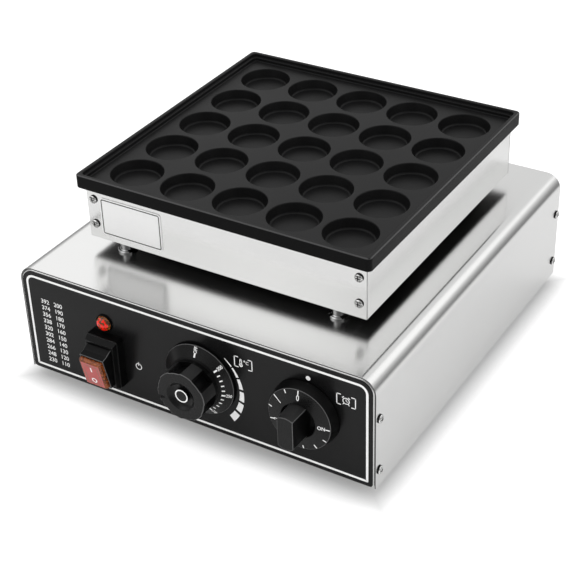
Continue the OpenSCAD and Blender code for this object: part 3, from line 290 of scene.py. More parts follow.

# Bottom plate, fasteners and feet: zinc-plated steel, bright plated screws and posts, moulded rubber.
# The feet are held to the bottom plate by screws and nuts. The screws on the sides and the hearth have
# crossed recesses; the recesses and the side walls of the heads are painted dark as shade.
zinc = finish("zinc_plate", (0.46, 0.46, 0.45), (0.6, 0.6, 0.58), 0.3, 0.5, 180, 40, 1.0, 4e-6)
coat(zinc, "bottom_plate", "foot_screws", "foot_nuts", "griddle_studs", "clamp_nuts", "clamp_bars",
     "post_bolts", "post_nuts", "rocker_pin", "thermostat_shaft", "thermostat_screws", "timer_shaft",
     "timer_screws", "bulb_clip", "block_screws")
bright = finish("bright_plate", (0.7, 0.7, 0.69), (0.8, 0.8, 0.79), 0.1, 0.16, 300, 60, 1.0)
recess_shade = finish("recess_shade", (0.01, 0.01, 0.01), (0.03, 0.03, 0.03), 0.5, 0.6, 300, 60, 1.0)
RECESS_R, RECESS_TOP, RECESS_LOW, RECESS_WALL = 2.5, 0.4, 2.2, 0.4
for node, across, up_axis in (("side_screws", 0, 1), ("hearth_screws", 1, 0)):
    screws = bmesh.new()
    screws.from_mesh(nodes[node].data)
    bmesh.ops.remove_doubles(screws, verts=screws.verts, dist=1e-6)
    node_middle = sum((Vector(corner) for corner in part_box(node)), Vector()) / 2
    loose = set(screws.verts)
    while loose:
        screw = [loose.pop()]
        for vert in screw:
            near = {edge.other_vert(vert) for edge in vert.link_edges} & loose
            screw += near
            loose -= near
        outward = 1 if screw[0].co[across] > node_middle[across] else -1
        tip = max(vert.co[across] * outward for vert in screw)
        sides = [[vert.co[axis] for vert in screw] for axis in (up_axis, 2)]
        centre = [(min(side) + max(side)) / 2 for side in sides]
        for face in {face for vert in screw for face in vert.link_faces}:
            at = face.calc_center_median()
            depth = (tip - at[across] * outward) * 1000
            off_axis = math.hypot(at[up_axis] - centre[0], at.z - centre[1]) * 1000
            # Recesses and the heads' side walls get the dark material: painted shade.
            in_wall = abs(face.normal[across]) < RECESS_WALL
            if RECESS_TOP < depth < RECESS_LOW and (off_axis < RECESS_R or in_wall):
                face.material_index = 1
    stand_in(node, "crossed_" + node, screws, "griddle", "bright_screws", bright, recess_shade)
# The posts' chrome is painted darker than plating is, as the shade of the gap under the hearth that it
# mirrors.
chrome = finish("post_chrome_painted_dark", (0.28, 0.28, 0.28), (0.36, 0.36, 0.36), 0.05, 0.09, 300, 60, 1.0)
coat(chrome, "support_posts")
rubber = finish("foot_rubber", (0.012, 0.012, 0.012), (0.03, 0.03, 0.03), 0.7, 0.9, 900, 90, 0.0, 2e-5)
coat(rubber, "rubber_feet")


# Printed film: a black plastic sheet glued to the front panel, screen printed in white ink.
# It carries a border line, a table of equal temperatures, and a sign beside each control.
FACE_LEFT, FACE_LOW, INK_T = -0.170, 0.010, 0.08
film_low, film_high = (Vector(corner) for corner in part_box("panel_overlay"))
film = finish("black_film", (0.004, 0.004, 0.0041), (0.007, 0.007, 0.0072), 0.2, 0.26, 2400, 30, 0.0,
              3e-6, Specular_IOR_Level=0.17)
coat(film, "panel_overlay")
white_ink = finish("white_ink", (0.93, 0.93, 0.925), (0.97, 0.97, 0.965), 0.45, 0.6, 1500, 200)


def on_face(u, v, out=0.0):
    """Place on the printed face in millimetres: x to the right, y up and z out of the panel."""
    return (Matrix.Translation((FACE_LEFT + u / 1000, film_low.y - out / 1000, FACE_LOW + v / 1000))
            @ Matrix.Rotation(math.radians(90), 4, "X") @ Matrix.Scale(0.001, 4))


def bar(mesh, x, y, w, h, turn=0.0):
    place = Matrix.Translation((x, y, 0)) @ Matrix.Rotation(math.radians(turn), 4, "Z")
    shape = Matrix.Diagonal((w, h, 1, 1))
    bmesh.ops.create_grid(mesh, x_segments=1, y_segments=1, size=0.5, matrix=place @ shape)


def ring(mesh, x, y, outer, inner, sides=32):
    place = Matrix.Translation((x, y, 0))
    loops = [bmesh.ops.create_circle(mesh, segments=sides, radius=r, matrix=place)["verts"]
             for r in (outer, inner)]
    edges = {edge for loop in loops for vert in loop for edge in vert.link_edges}
    bmesh.ops.bridge_loops(mesh, edges=list(edges))


def disc(mesh, x, y, r, sides=32):
    place = Matrix.Translation((x, y, 0))
    bmesh.ops.create_circle(mesh, cap_ends=True, segments=sides, radius=r, matrix=place)


def digits(mesh, text, x, y, size, turn=0.0, squeeze=1.0, bold=0.0):
    curve = bpy.data.curves.new("digits", "FONT")
    curve.body = text
    curve.size = size
    curve.offset = bold
    curve.align_x, curve.align_y = "CENTER", "CENTER"
    curve.resolution_u = 4
    held = bpy.data.objects.new("digits", curve)
    scene.collection.objects.link(held)
    flat = bpy.data.meshes.new_from_object(held.evaluated_get(bpy.context.evaluated_depsgraph_get()))
    flat.transform(Matrix.Translation((x, y, 0)) @ Matrix.Rotation(math.radians(turn), 4, "Z")
                   @ Matrix.Diagonal((squeeze, 1, 1, 1)))
    mesh.from_mesh(flat)
    bpy.data.objects.remove(held)
    bpy.data.curves.remove(curve)
    bpy.data.meshes.remove(flat)


def push_out(mesh, faces, reach):
    """Makes flat faces a closed plate, and gives what was raised."""
    raised = bmesh.ops.extrude_face_region(mesh, geom=faces, use_keep_orig=True)["geom"]
    verts = [v for v in raised if isinstance(v, bmesh.types.BMVert)]
    bmesh.ops.translate(mesh, verts=verts, vec=(0, 0, reach))
    return raised


def raise_ink(mesh):
    """Turns flat marks into thin closed plates that face the user."""
    bmesh.ops.remove_doubles(mesh, verts=mesh.verts, dist=0.001)
    bmesh.ops.recalc_face_normals(mesh, faces=mesh.faces)
    for face in mesh.faces:
        if face.normal.z < 0:
            face.normal_flip()
    push_out(mesh, mesh.faces[:], INK_T)
    bmesh.ops.recalc_face_normals(mesh, faces=mesh.faces)


def rounded_plate(mesh, w, h, low_r, high_r, middle=(0, 0, 0)):
    """Flat plate with round corners, as one face."""
    known = set(mesh.faces)
    shape = Matrix.Translation(middle) @ Matrix.Diagonal((w, h, 1, 1))
    corners = bmesh.ops.create_grid(mesh, x_segments=1, y_segments=1, size=0.5, matrix=shape)["verts"]
    ends = [[v for v in corners if (v.co.y > middle[1]) == above] for above in (False, True)]
    for end, r in zip(ends, (low_r, high_r)):
        bmesh.ops.bevel(mesh, geom=end, offset=r, offset_type="OFFSET", segments=8, profile=0.5,
                        affect="VERTICES", material=-1)
    return [f for f in mesh.faces if f not in known]


KEYLINE_INSET, KEYLINE_W, KEYLINE_LOW_R, KEYLINE_HIGH_R = 3.6, 2.0, 1.2, 8.2
film_w, film_h = (film_high.x - film_low.x) * 1000, (film_high.z - film_low.z) * 1000
film_middle = (film_low.x - FACE_LEFT) * 1000 + film_w / 2, (film_low.z - FACE_LOW) * 1000 + film_h / 2
border = bmesh.new()
plate = rounded_plate(border, film_w - 2 * KEYLINE_INSET, film_h - 2 * KEYLINE_INSET, KEYLINE_LOW_R,
                      KEYLINE_HIGH_R)
bmesh.ops.inset_region(border, faces=plate, thickness=KEYLINE_W, use_even_offset=True, use_boundary=True)
bmesh.ops.delete(border, geom=[max(border.faces, key=lambda f: f.calc_area())], context="FACES")
raise_ink(border)
border.transform(on_face(*film_middle))
add_piece("border_line", border, "griddle", "panel_film", white_ink)

# Temperature table: ten rows of plain numbers, screen printed in white ink on the film.
# Each row gives one temperature on two scales, and the rows fall in even steps.
TABLE_TOP, TABLE_STEP, TABLE_COLUMNS = 74.2, 6.7, (24.0, 37.7)
TABLE_SIZE, TABLE_SQUEEZE, TABLE_BOLD = 5.9, 1.02, 0.03
HOTTEST, HEAT_STEP, TABLE_ROWS = 200, 10, 10
table = bmesh.new()
for row in range(TABLE_ROWS):
    celsius = HOTTEST - HEAT_STEP * row
    for column, number in zip(TABLE_COLUMNS, (round(celsius * 9 / 5 + 32), celsius)):
        digits(table, str(number), column, TABLE_TOP - TABLE_STEP * row, TABLE_SIZE, squeeze=TABLE_SQUEEZE,
               bold=TABLE_BOLD)
raise_ink(table)
table.transform(on_face(0, 0))
add_piece("temperature_table", table, "griddle", "panel_film", white_ink)

# Signs: generic line signs in white ink, a thermometer and an alarm clock in brackets and the power sign.
# They are screen printed on the film beside the controls, with the round mark where the timer is read.
SIGN_LINE, SIGN_W, SIGN_H, BRACKET_REACH = 0.8, 17, 10.5, 4
HEAT_SIGN, CLOCK_SIGN, POWER_SIGN, TIMER_MARK = (222.5, 80), (314.5, 77.5), (118, 40), (281.5, 87)
signs = bmesh.new()
for x, y in (HEAT_SIGN, CLOCK_SIGN):
    for side in (-1, 1):
        bar(signs, x + side * (SIGN_W - SIGN_LINE) / 2, y, SIGN_LINE, SIGN_H)
        arm_x = x + side * (SIGN_W - BRACKET_REACH) / 2
        for end in (-1, 1):
            bar(signs, arm_x, y + end * (SIGN_H - SIGN_LINE) / 2, BRACKET_REACH, SIGN_LINE)
x, y = HEAT_SIGN
ring(signs, x - 2.2, y - 2.4, 1.7, 0.9, 20)
ring(signs, x - 2.2, y + 2.6, 1.0, 0.45, 16)
bar(signs, x - 3.0, y + 0.6, 0.6, 4)
bar(signs, x - 1.4, y + 0.6, 0.6, 4)
disc(signs, x - 2.2, y - 2.4, 0.55, 12)
ring(signs, x + 1.2, y + 2.4, 0.8, 0.4, 12)
digits(signs, "C", x + 3.7, y + 1.2, 4.2)
x, y = CLOCK_SIGN
ring(signs, x, y - 0.2, 3.1, 2.4, 28)
bar(signs, x, y + 0.7, 0.55, 1.9)
bar(signs, x + 0.6, y - 0.5, 1.5, 0.55, -30)
for side in (-1, 1):
    bar(signs, x + side * 2.6, y + 3.0, 2.0, 0.8, -side * 40)
    bar(signs, x + side * 2.3, y - 3.2, 0.7, 1.6, side * 40)
x, y = POWER_SIGN
ring(signs, x, y, 3.2, 2.5, 28)
bar(signs, x, y + 2.6, 0.8, 3.4)
disc(signs, *TIMER_MARK, 2.0)
raise_ink(signs)
signs.transform(on_face(0, 0))
add_piece("panel_signs", signs, "griddle", "panel_film", white_ink)

# Heat wedges: six curved wedges in white ink round the thermostat, screen printed on the film.
# They widen as the heat rises, clockwise from a thin point at the upper right.
THERMOSTAT = (181.0, 51.5)
WEDGES = ((49, 35.5), (33.5, 19.5), (17, 2.5), (-1, -15), (-18.5, -31.5), (-35.5, -48))
WEDGE_STOPS, WEDGE_START, WEDGE_SPAN = 6, 51, 101
WEDGE_INNER, WEDGE_OUTER, INNER_GROWTH, OUTER_GROWTH, OUTER_CURVE = 36.0, 36.4, 2.6, 8.6, 1.15
wedge_print = bmesh.new()
for first, last in WEDGES:
    wedge = bmesh.ops.create_grid(wedge_print, x_segments=WEDGE_STOPS, y_segments=1, size=0.5)["verts"]
    for vert in wedge:
        degrees = first + (last - first) * (vert.co.x + 0.5)
        share = (WEDGE_START - degrees) / WEDGE_SPAN
        if vert.co.y > 0:
            r = WEDGE_OUTER + OUTER_GROWTH * share ** OUTER_CURVE
        else:
            r = WEDGE_INNER + INNER_GROWTH * share ** 2
        vert.co = r * math.cos(math.radians(degrees)), r * math.sin(math.radians(degrees)), 0
raise_ink(wedge_print)
wedge_print.transform(on_face(*THERMOSTAT))
add_piece("heat_wedges", wedge_print, "griddle", "panel_film", white_ink)


# Hearth: four folded stainless plates screwed together at the corners, with a floor that lies inside.
# The sheets' undersides, the hearth floor and its nuts are painted dark as the shade in the gap under the
# hearth, and the ends of the front and rear plates show cut edges, painted dark partly as seam shade.
HEARTH_ROUND, SHORT_EDGE = 0.35, 0.015
# The hearth's steel is painted paler than the base's, as light falling on the hearth.
hearth_steel_painted_paler = finish("hearth_steel_painted_paler", (0.7, 0.7, 0.695), (0.76, 0.76, 0.755), 0.14, 0.18, LEVEL_GRAIN, 10,
                      1.0, 3e-7)
painted_underside_shade = finish("painted_underside_shade", (0.02, 0.019, 0.018), (0.045, 0.042, 0.04), 0.55, 0.7, 90, 20, 1.0,
                       8e-6)
coat(painted_underside_shade, "hearth_floor", "floor_nuts")
side_steel_painted_paler = finish("side_steel_painted_paler", (0.7, 0.7, 0.695), (0.74, 0.74, 0.735), 0.24, 0.26, LEVEL_GRAIN, 10, 1.0)
for side in ("front", "rear", "left", "right"):
    steel = hearth_steel_painted_paler if side in ("front", "rear") else side_steel_painted_paler
    sheet = rounded_copy("hearth_" + side, HEARTH_ROUND, lambda e, m: e.calc_length() > SHORT_EDGE)
    # Downward faces are painted dark as shade, and the end faces of the front and rear plates partly as seam
    # shade.
    for face in sheet.faces:
        if face.normal.z < -FACING:
            face.material_index = 1
        elif abs(face.normal.x) > FACING and steel == hearth_steel_painted_paler:
            face.material_index = 2
    stand_in("hearth_" + side, side + "_hearth_sheet", sheet, "griddle", "stainless", steel, painted_underside_shade,
             cut_edge_and_seam_shade)

# Blank plate: a thin white enamelled sheet with round corners and a dark line round its edge.
# It is glued to the left end of the hearth's front plate, and it is bare.
BLANK_W, BLANK_H, BLANK_T, BLANK_R, BLANK_MARGIN, BLANK_LINE = 62.0, 35.5, 0.5, 3.2, 1.3, 1.0
BLANK_PLACE = Vector((0.0442, 0, 0.023))
hearth_low = Vector(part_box("hearth_front")[0])
blank = bmesh.new()
raised = push_out(blank, rounded_plate(blank, BLANK_W, BLANK_H, BLANK_R, BLANK_R), BLANK_T)
front = [f for f in raised if isinstance(f, bmesh.types.BMFace)]
bmesh.ops.inset_region(blank, faces=front, thickness=BLANK_MARGIN, use_even_offset=True)
line = bmesh.ops.inset_region(blank, faces=front, thickness=BLANK_LINE, use_even_offset=True)["faces"]
for strip in line:
    strip.material_index = 1
bmesh.ops.recalc_face_normals(blank, faces=blank.faces)
blank.transform(Matrix.Translation(hearth_low + BLANK_PLACE) @ Matrix.Rotation(math.radians(90), 4, "X")
                @ Matrix.Scale(0.001, 4))
dark_ink = finish("dark_ink", (0.02, 0.02, 0.02), (0.04, 0.04, 0.04), 0.4, 0.5, 1500, 200)
enamel = finish("white_enamel", (0.92, 0.92, 0.915), (0.95, 0.95, 0.945), 0.3, 0.4, 500, 50)
add_piece("bare_plate", blank, "griddle", "stainless", enamel, dark_ink)


# Griddle: one aluminium casting with a stepped rim and round cups, coated dark and satin against sticking.
# Its edges are rounded as the mould leaves them. Studs in its underside run through the hearth floor,
# where nuts hold it down.
tray_low, tray_high = (Vector(corner) * 1000 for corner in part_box("griddle_plate"))
RIM_HALF, RIM_TOP, CORNER_R, SLAB_HALF = 139.0, tray_high.z, 4.0, 129.0
EDGE_BAND, EDGE_UPWARD = 1.2, 0.25
COOK_Z, SKIRT_LOW, SLAB_LOW = RIM_TOP - 6.5, RIM_TOP - 12, tray_low.z
CUP_R, CUP_DEPTH, CUP_DRAFT, CUP_PITCH, CUPS = 22.5, 9.0, 1.6, 51.0, 5
non_stick = finish("non_stick_coat", (0.004, 0.004, 0.0041), (0.007, 0.007, 0.0072), 0.36, 0.46, 1100,
                   14, 0.0, 1.5e-5, Specular_IOR_Level=0.14)
painted_rim_highlight = finish("painted_rim_highlight", (0.02, 0.02, 0.0205), (0.035, 0.035, 0.0355), 0.22, 0.3, 1100, 14,
                   Specular_IOR_Level=0.5)
painted_skirt_shade = finish("painted_skirt_shade", (0.003, 0.003, 0.0031), (0.006, 0.006, 0.0062), 0.34, 0.42, 1100,
                    14, 0.0, 1.5e-5, Specular_IOR_Level=0.06)


def arc(middle, r, first, last, steps):
    """Points of an arc in a section, with both ends."""
    turns = [math.radians(first + (last - first) * k / steps) for k in range(steps + 1)]
    return [(middle[0] + r * math.cos(turn), middle[1] + r * math.sin(turn)) for turn in turns]


def turned(mesh, section, steps):
    """Spins a section of (radius, height) points about the z axis."""
    points = [mesh.verts.new((r, 0, z)) for r, z in section]
    edges = [mesh.edges.new(pair) for pair in zip(points, points[1:])]
    bmesh.ops.spin(mesh, geom=points + edges, cent=(0, 0, 0), axis=(0, 0, 1), dvec=(0, 0, 0), angle=math.tau,
                   steps=steps, use_merge=True)
    bmesh.ops.remove_doubles(mesh, verts=mesh.verts, dist=0.0005)


rim_section = arc((SLAB_HALF - 1, SLAB_LOW + 1), 1.0, -90, 0, 3) + [(SLAB_HALF, SKIRT_LOW)]
rim_section += arc((RIM_HALF - 0.7, SKIRT_LOW + 0.7), 0.7, -90, 0, 3)
rim_section += arc((RIM_HALF - 1.1, RIM_TOP - 1.1), 1.1, 0, 90, 5)
rim_section += arc((135.9, RIM_TOP - 0.9), 0.9, 90, 180, 3) + arc((134.4, RIM_TOP - 2.4), 0.6, 0, -90, 2)
rim_section += arc((133.8, RIM_TOP - 3.8), 0.8, 90, 180, 3) + arc((132.0, COOK_Z + 1), 1.0, 0, -90, 3)
casting = bmesh.new()
loops = []
for half, z in rim_section:
    made = rounded_plate(casting, 2 * half, 2 * half, CORNER_R, CORNER_R, (0, 0, z))
    loops.append(made[0].edges[:])
    if len(loops) > 1:
        bmesh.ops.delete(casting, geom=made, context="FACES_ONLY")
        bmesh.ops.bridge_loops(casting, edges=loops[-2] + loops[-1])

cup = bmesh.new()
LIP_R, FOOT_R, FLOOR_RING, CUP_SIDES = 0.9, 2.0, 8, 56
foot_radius = CUP_R - CUP_DRAFT
cup_section = arc((CUP_R + LIP_R, -LIP_R), LIP_R, 90, 175, 3)
cup_section += arc((foot_radius - FOOT_R, -CUP_DEPTH + FOOT_R), FOOT_R, -8, -90, 4)
cup_section += [(FLOOR_RING, -CUP_DEPTH), (0, -CUP_DEPTH)]
turned(cup, cup_section, CUP_SIDES)
bmesh.ops.recalc_face_normals(cup, faces=cup.faces)
for cup_face in cup.faces:
    if cup_face.normal.z < 0:
        cup_face.normal_flip()
cup_mesh = bpy.data.meshes.new("cup")
cup.to_mesh(cup_mesh)
for column in range(CUPS):
    for row in range(CUPS):
        known = set(casting.verts)
        casting.from_mesh(cup_mesh)
        bmesh.ops.translate(casting, verts=[v for v in casting.verts if v not in known],
                            vec=((column - CUPS // 2) * CUP_PITCH, (row - CUPS // 2) * CUP_PITCH, COOK_Z))
cup.free()
bpy.data.meshes.remove(cup_mesh)
open_edges = [e for e in casting.edges if e.is_boundary or e.is_wire]
bmesh.ops.triangle_fill(casting, use_beauty=True, use_dissolve=False, edges=open_edges)
bmesh.ops.recalc_face_normals(casting, faces=casting.faces)
# Round the outer rim, faces looking up are painted paler as a highlight, and the other faces darker as shade.
for face in casting.faces:
    at = face.calc_center_median()
    if max(abs(at.x), abs(at.y)) > RIM_HALF - EDGE_BAND:
        face.material_index = 2 if face.normal.z > EDGE_UPWARD else 1
tray_middle = ((tray_low.x + tray_high.x) / 2, (tray_low.y + tray_high.y) / 2, 0)
casting.transform(Matrix.Scale(0.001, 4) @ Matrix.Translation(tray_middle))
stand_in("griddle_plate", "cast_griddle", casting, "griddle", "griddle", non_stick, painted_skirt_shade, painted_rim_highlight)


# Parts inside the hearth and the base: a steel heating tube, a ceramic fibre board, brass and copper
# fittings, pale mouldings and insulated wires. They are bought in, and screwed or clipped to the sheets.
coat(finish("stained_tube", (0.12, 0.09, 0.075), (0.24, 0.18, 0.15), 0.35, 0.55, 60, 25, 1.0, 5e-6),
     "heating_element")
coat(finish("brass", (0.5, 0.34, 0.12), (0.64, 0.46, 0.19), 0.22, 0.4, 200, 60, 1.0),
     "element_terminals", "switch_terminals", "earth_stud")
coat(finish("copper", (0.5, 0.24, 0.14), (0.66, 0.34, 0.2), 0.22, 0.4, 200, 60, 1.0),
     "sensor_bulb", "capillary_tube")
coat(finish("fibre_board", (0.6, 0.57, 0.48), (0.76, 0.73, 0.63), 0.85, 1.0, (260, 260, 700), 30, 0.0, 1e-4),
     "insulation_pad")
coat(finish("pale_moulding", (0.6, 0.58, 0.52), (0.7, 0.68, 0.62), 0.4, 0.55, 700, 40, 0.0, 1e-5),
     "wire_sleeve", "thermostat_body", "timer_body", "terminal_block")
coat(finish("white_wire", (0.66, 0.66, 0.64), (0.78, 0.78, 0.76), 0.4, 0.55, 500, 60), "element_wires")
coat(finish("red_wire", (0.36, 0.03, 0.025), (0.48, 0.05, 0.04), 0.4, 0.55, 500, 60), "control_wires")


# Power switch: a black stepped bezel snapped into the panel, with a red rocker in a black frame.
# All are moulded, with small round edges painted paler as highlights, and walls painted darker as shade. The
# rocker's red lens has a speckled edge and a dull line round its face, and shows I and O in white.
SWITCH_ROUND, FACING_OUT = 0.7, -0.8
black_moulding = finish("black_moulding", (0.004, 0.004, 0.0041), (0.007, 0.007, 0.0072), 0.24, 0.32,
                        1600, 40, 0.0, 3e-6, Specular_IOR_Level=0.2)
# Walls are painted darker than faces as shade, and round edges paler as highlights.
painted_shade_black = finish("painted_shade_black", (0.0015, 0.0015, 0.0016), (0.003, 0.003, 0.0031), 0.28, 0.36,
                    1600, 40, 0.0, 3e-6, Specular_IOR_Level=0.12)
painted_edge_highlight = finish("painted_edge_highlight", (0.06, 0.06, 0.0605), (0.1, 0.1, 0.1005), 0.24, 0.32, 1600, 40,
                     Specular_IOR_Level=0.5)
coat(black_moulding, "switch_body", "indicator_body", "indicator_nut", "cable_gland", "gland_locknut",
     "knob_cap")
for node, name, body in (("switch_bezel", "stepped_bezel", "griddle"),
                         ("rocker_frame", "rounded_frame", "rocker")):
    moulding = rounded_copy(node, SWITCH_ROUND, material=1)
    for face in moulding.faces:
        if face.normal.y < FACING_OUT and face.material_index == 0:
            face.material_index = 2
    stand_in(node, name, moulding, body, "black_plastic", painted_shade_black, painted_edge_highlight, black_moulding)
red_face = finish("red_face", (0.4, 0.06, 0.055), (0.5, 0.085, 0.08), 0.3, 0.4, 300, 60)
red_edge = finish("red_edge", (0.04, 0.008, 0.003), (0.34, 0.08, 0.014), 0.15, 0.25, 700, 500, spread=0.1)
dull_line = finish("dull_line", (0.17, 0.12, 0.08), (0.4, 0.1, 0.08), 0.3, 0.4, 700, 500, spread=0.05)
LENS_ROUND, LENS_EDGE, LENS_MARGIN, LENS_LINE = 0.35, 0.0003, 0.0018, 0.0009
ON_BAR, OFF_RING = (0, 6, 1.2, 5.2), (0, -6.8, 2.7, 1.7)
lens = rounded_copy("rocker_lens", LENS_ROUND)
for face in lens.faces:
    face.material_index = 1
lens_face = max((f for f in lens.faces if f.normal.y < -0.5), key=lambda f: f.calc_area())
bmesh.ops.inset_region(lens, faces=[lens_face], thickness=LENS_EDGE, use_even_offset=True)
for width, index in ((LENS_MARGIN, 0), (LENS_LINE, 2)):
    strips = bmesh.ops.inset_region(lens, faces=[lens_face], thickness=width, use_even_offset=True)["faces"]
    for strip in strips:
        strip.material_index = index
lens_face.material_index = 0
lens_out = lens_face.normal.copy()
lens_up = Vector((1, 0, 0)).cross(lens_out) * -1
lens_axes = Matrix((Vector((1, 0, 0)), lens_up, lens_out)).transposed().to_4x4()
lens_place = Matrix.Translation(lens_face.calc_center_median()) @ lens_axes @ Matrix.Scale(0.001, 4)
stand_in("rocker_lens", "red_rocker", lens, "rocker", "red_lens", red_face, red_edge, dull_line)
rocker_marks = bmesh.new()
bar(rocker_marks, *ON_BAR)
ring(rocker_marks, *OFF_RING)
raise_ink(rocker_marks)
rocker_marks.transform(lens_place)
add_piece("rocker_marks", rocker_marks, "rocker", "red_lens", white_ink)


# Pilot lamp: a cut red plastic jewel in a thin dark rim, pushed through the film and held by a nut behind.
# Its red is painted mottled, with bright glints and dark spots standing in for the light through its facets,
# and a brown band round its foot. Its rim is painted dark as shade.
LAMP, JEWEL_R, LAMP_RIM_R, LAMP_RIM_H, LAMP_RIM_SIDES = (86.5, 73.5), 7.2, 8.0, 1.2, 48
JEWEL_RIM_H, JEWEL_SIDES = 3.2, 9
lamp_section = [(JEWEL_R, 0.0), (JEWEL_R, LAMP_RIM_H)] + arc((7.6, 1.1), 0.4, 90, 0, 3)
lamp_section += [(LAMP_RIM_R, 0.0), (JEWEL_R, 0.0)]
lamp_rim = bmesh.new()
turned(lamp_rim, lamp_section, LAMP_RIM_SIDES)
bmesh.ops.recalc_face_normals(lamp_rim, faces=lamp_rim.faces)
lamp_rim.transform(on_face(*LAMP))
add_piece("lamp_rim", lamp_rim, "griddle", "black_plastic", painted_shade_black)
painted_glint_red = finish("painted_glint_red", (0.1, 0.04, 0.012), (0.95, 0.012, 0.004), 0.08, 0.16, 420, 420,
                   spread=0.06)
jewel_rim = finish("jewel_rim", (0.04, 0.01, 0.003), (0.34, 0.1, 0.014), 0.1, 0.2, 420, 420, spread=0.08)
jewel_section = [(0.0, 0.3), (JEWEL_R, 0.3), (JEWEL_R, 1.4), (6.2, JEWEL_RIM_H), (4.4, 4.8), (2.3, 5.7),
                 (0.0, 6.0)]
jewel = bmesh.new()
turned(jewel, jewel_section, JEWEL_SIDES)
bmesh.ops.recalc_face_normals(jewel, faces=jewel.faces)
for face in jewel.faces:
    if face.calc_center_median().z < JEWEL_RIM_H:
        face.material_index = 1
jewel.transform(on_face(*LAMP))
stand_in("indicator_lens", "cut_jewel", jewel, "griddle", "red_lens", painted_glint_red, jewel_rim)


# Thermostat knob: black moulding pushed onto its shaft, with a conical skirt and a grip with six wedge
# flutes. Its face is dished round a plain cap, and a notch in the rim shows which way it is turned.
SKIRT_R, KNOB_GAP, NECK_Z, GRIP_R, GRIP_REACH = 33.0, 1.2, 9.0, 22.6, 29.5
FLUTES, FLUTE_TURN, FLUTE_HALF, FLUTE_SIDE = 6, 43.5, 16.5, 4.5
FLUTE_BACK, FLUTE_FRONT, FLUTE_Z = 5.0, 0.7, 13.0
INDEX_TURN, INDEX_HALF, INDEX_DEPTH, INDEX_R = 198.0, 4.6, 2.4, 16.6
DISH_R, DISH_FLOOR, CAP_SEAT_R, CAP_SEAT, CAP_FACE = 13.2, 25.8, 6.5, GRIP_REACH - 2.4, 28.3
RIM_Z, DISH_CENTRE, KNOB_SIDES = GRIP_REACH - 1.0, GRIP_REACH + 2.1, 240
WALL_TILT, EDGE_TILT, KNOB_EDGE_R = 0.3, 0.84, 18
# The grip's walls are painted paler than the other walls, as lit.
painted_lit_grip = finish("painted_lit_grip", (0.014, 0.014, 0.0142), (0.019, 0.019, 0.0192), 0.3, 0.38, 1600, 40, 0.0,
                   3e-6, Specular_IOR_Level=0.24)
knob = bmesh.new()
skirt_section = [(0.0, 4.0), (GRIP_R - 6, 4.0), (SKIRT_R - 2.5, KNOB_GAP + 0.4), (SKIRT_R - 2.2, KNOB_GAP)]
skirt_section += arc((SKIRT_R - 0.7, KNOB_GAP + 0.7), 0.7, -90, 0, 3)
skirt_section += arc((SKIRT_R - 0.8, 2.5), 0.8, 0, 60, 3)
skirt_section += [(24.0, 7.9), (23.6, 8.6), (23.2, NECK_Z), (GRIP_R, NECK_Z + 0.3), (GRIP_R, FLUTE_Z - 0.15)]
skirt_section += [(GRIP_R, FLUTE_Z + (RIM_Z - FLUTE_Z) * k / 4) for k in range(4)]
skirt_section += arc((GRIP_R - 1.0, RIM_Z), 1.0, 0, 90, 4) + [(INDEX_R, GRIP_REACH)]
skirt_section += arc((DISH_R + 0.4, GRIP_REACH - 0.8), 0.8, 90, 135, 3)
skirt_section += arc((CAP_SEAT_R + 0.8, DISH_CENTRE), DISH_CENTRE - DISH_FLOOR, -32, -90, 6)
skirt_section += [(CAP_SEAT_R, DISH_FLOOR), (CAP_SEAT_R, CAP_SEAT), (0.0, CAP_SEAT)]
turned(knob, skirt_section, KNOB_SIDES)
for vert in knob.verts:
    r, turn = math.hypot(vert.co.x, vert.co.y), math.degrees(math.atan2(vert.co.y, vert.co.x))
    if vert.co.z < FLUTE_Z - 0.01 or r < INDEX_R + 0.1:
        continue
    off_flute = abs((turn - FLUTE_TURN + 180 / FLUTES) % (360 / FLUTES) - 180 / FLUTES)
    along = min(1.0, (vert.co.z - FLUTE_Z) / (RIM_Z - FLUTE_Z))
    in_flute = min(1.0, max(0.0, (FLUTE_HALF - off_flute) / FLUTE_SIDE))
    cut = (FLUTE_BACK + (FLUTE_FRONT - FLUTE_BACK) * along) * in_flute
    off_index = abs((turn - INDEX_TURN + 180) % 360 - 180)
    if vert.co.z > RIM_Z - 0.01 and off_index < INDEX_HALF:
        vert.co.z -= INDEX_DEPTH * (1 - off_index / INDEX_HALF)
    vert.co.x *= (r - cut) / r
    vert.co.y *= (r - cut) / r
bmesh.ops.recalc_face_normals(knob, faces=knob.faces)


def shade_knob(mesh, inner_r):
    """Sorts a knob's faces: 0 towards the user, 1 walls painted darker as shade, 2 rounded outer edges
    painted paler as highlights.
    """
    for part in mesh.faces:
        at = part.calc_center_median()
        outward = part.normal.x * at.x + part.normal.y * at.y > 0
        if part.normal.z < WALL_TILT:
            part.material_index = 1
        elif part.normal.z < EDGE_TILT and outward and math.hypot(at.x, at.y) > inner_r:
            part.material_index = 2


shade_knob(knob, KNOB_EDGE_R)
# The index notch and the neck are painted dark as shade, and the grip's walls paler as lit.
for part in knob.faces:
    at = part.calc_center_median()
    off_index = abs((math.degrees(math.atan2(at.y, at.x)) - INDEX_TURN + 180) % 360 - 180)
    if off_index < INDEX_HALF and at.z > RIM_Z - INDEX_DEPTH and math.hypot(at.x, at.y) > INDEX_R:
        part.material_index = 1
    elif part.material_index == 1 and at.z > FLUTE_Z and math.hypot(at.x, at.y) > GRIP_R - 0.2:
        part.material_index = 3
    elif NECK_Z - 1.2 < at.z < FLUTE_Z:
        part.material_index = 1
knob.transform(on_face(*THERMOSTAT))
stand_in("thermostat_knob", "fluted_knob", knob, "thermostat_dial", "black_plastic", black_moulding,
         painted_shade_black, painted_edge_highlight, painted_lit_grip)

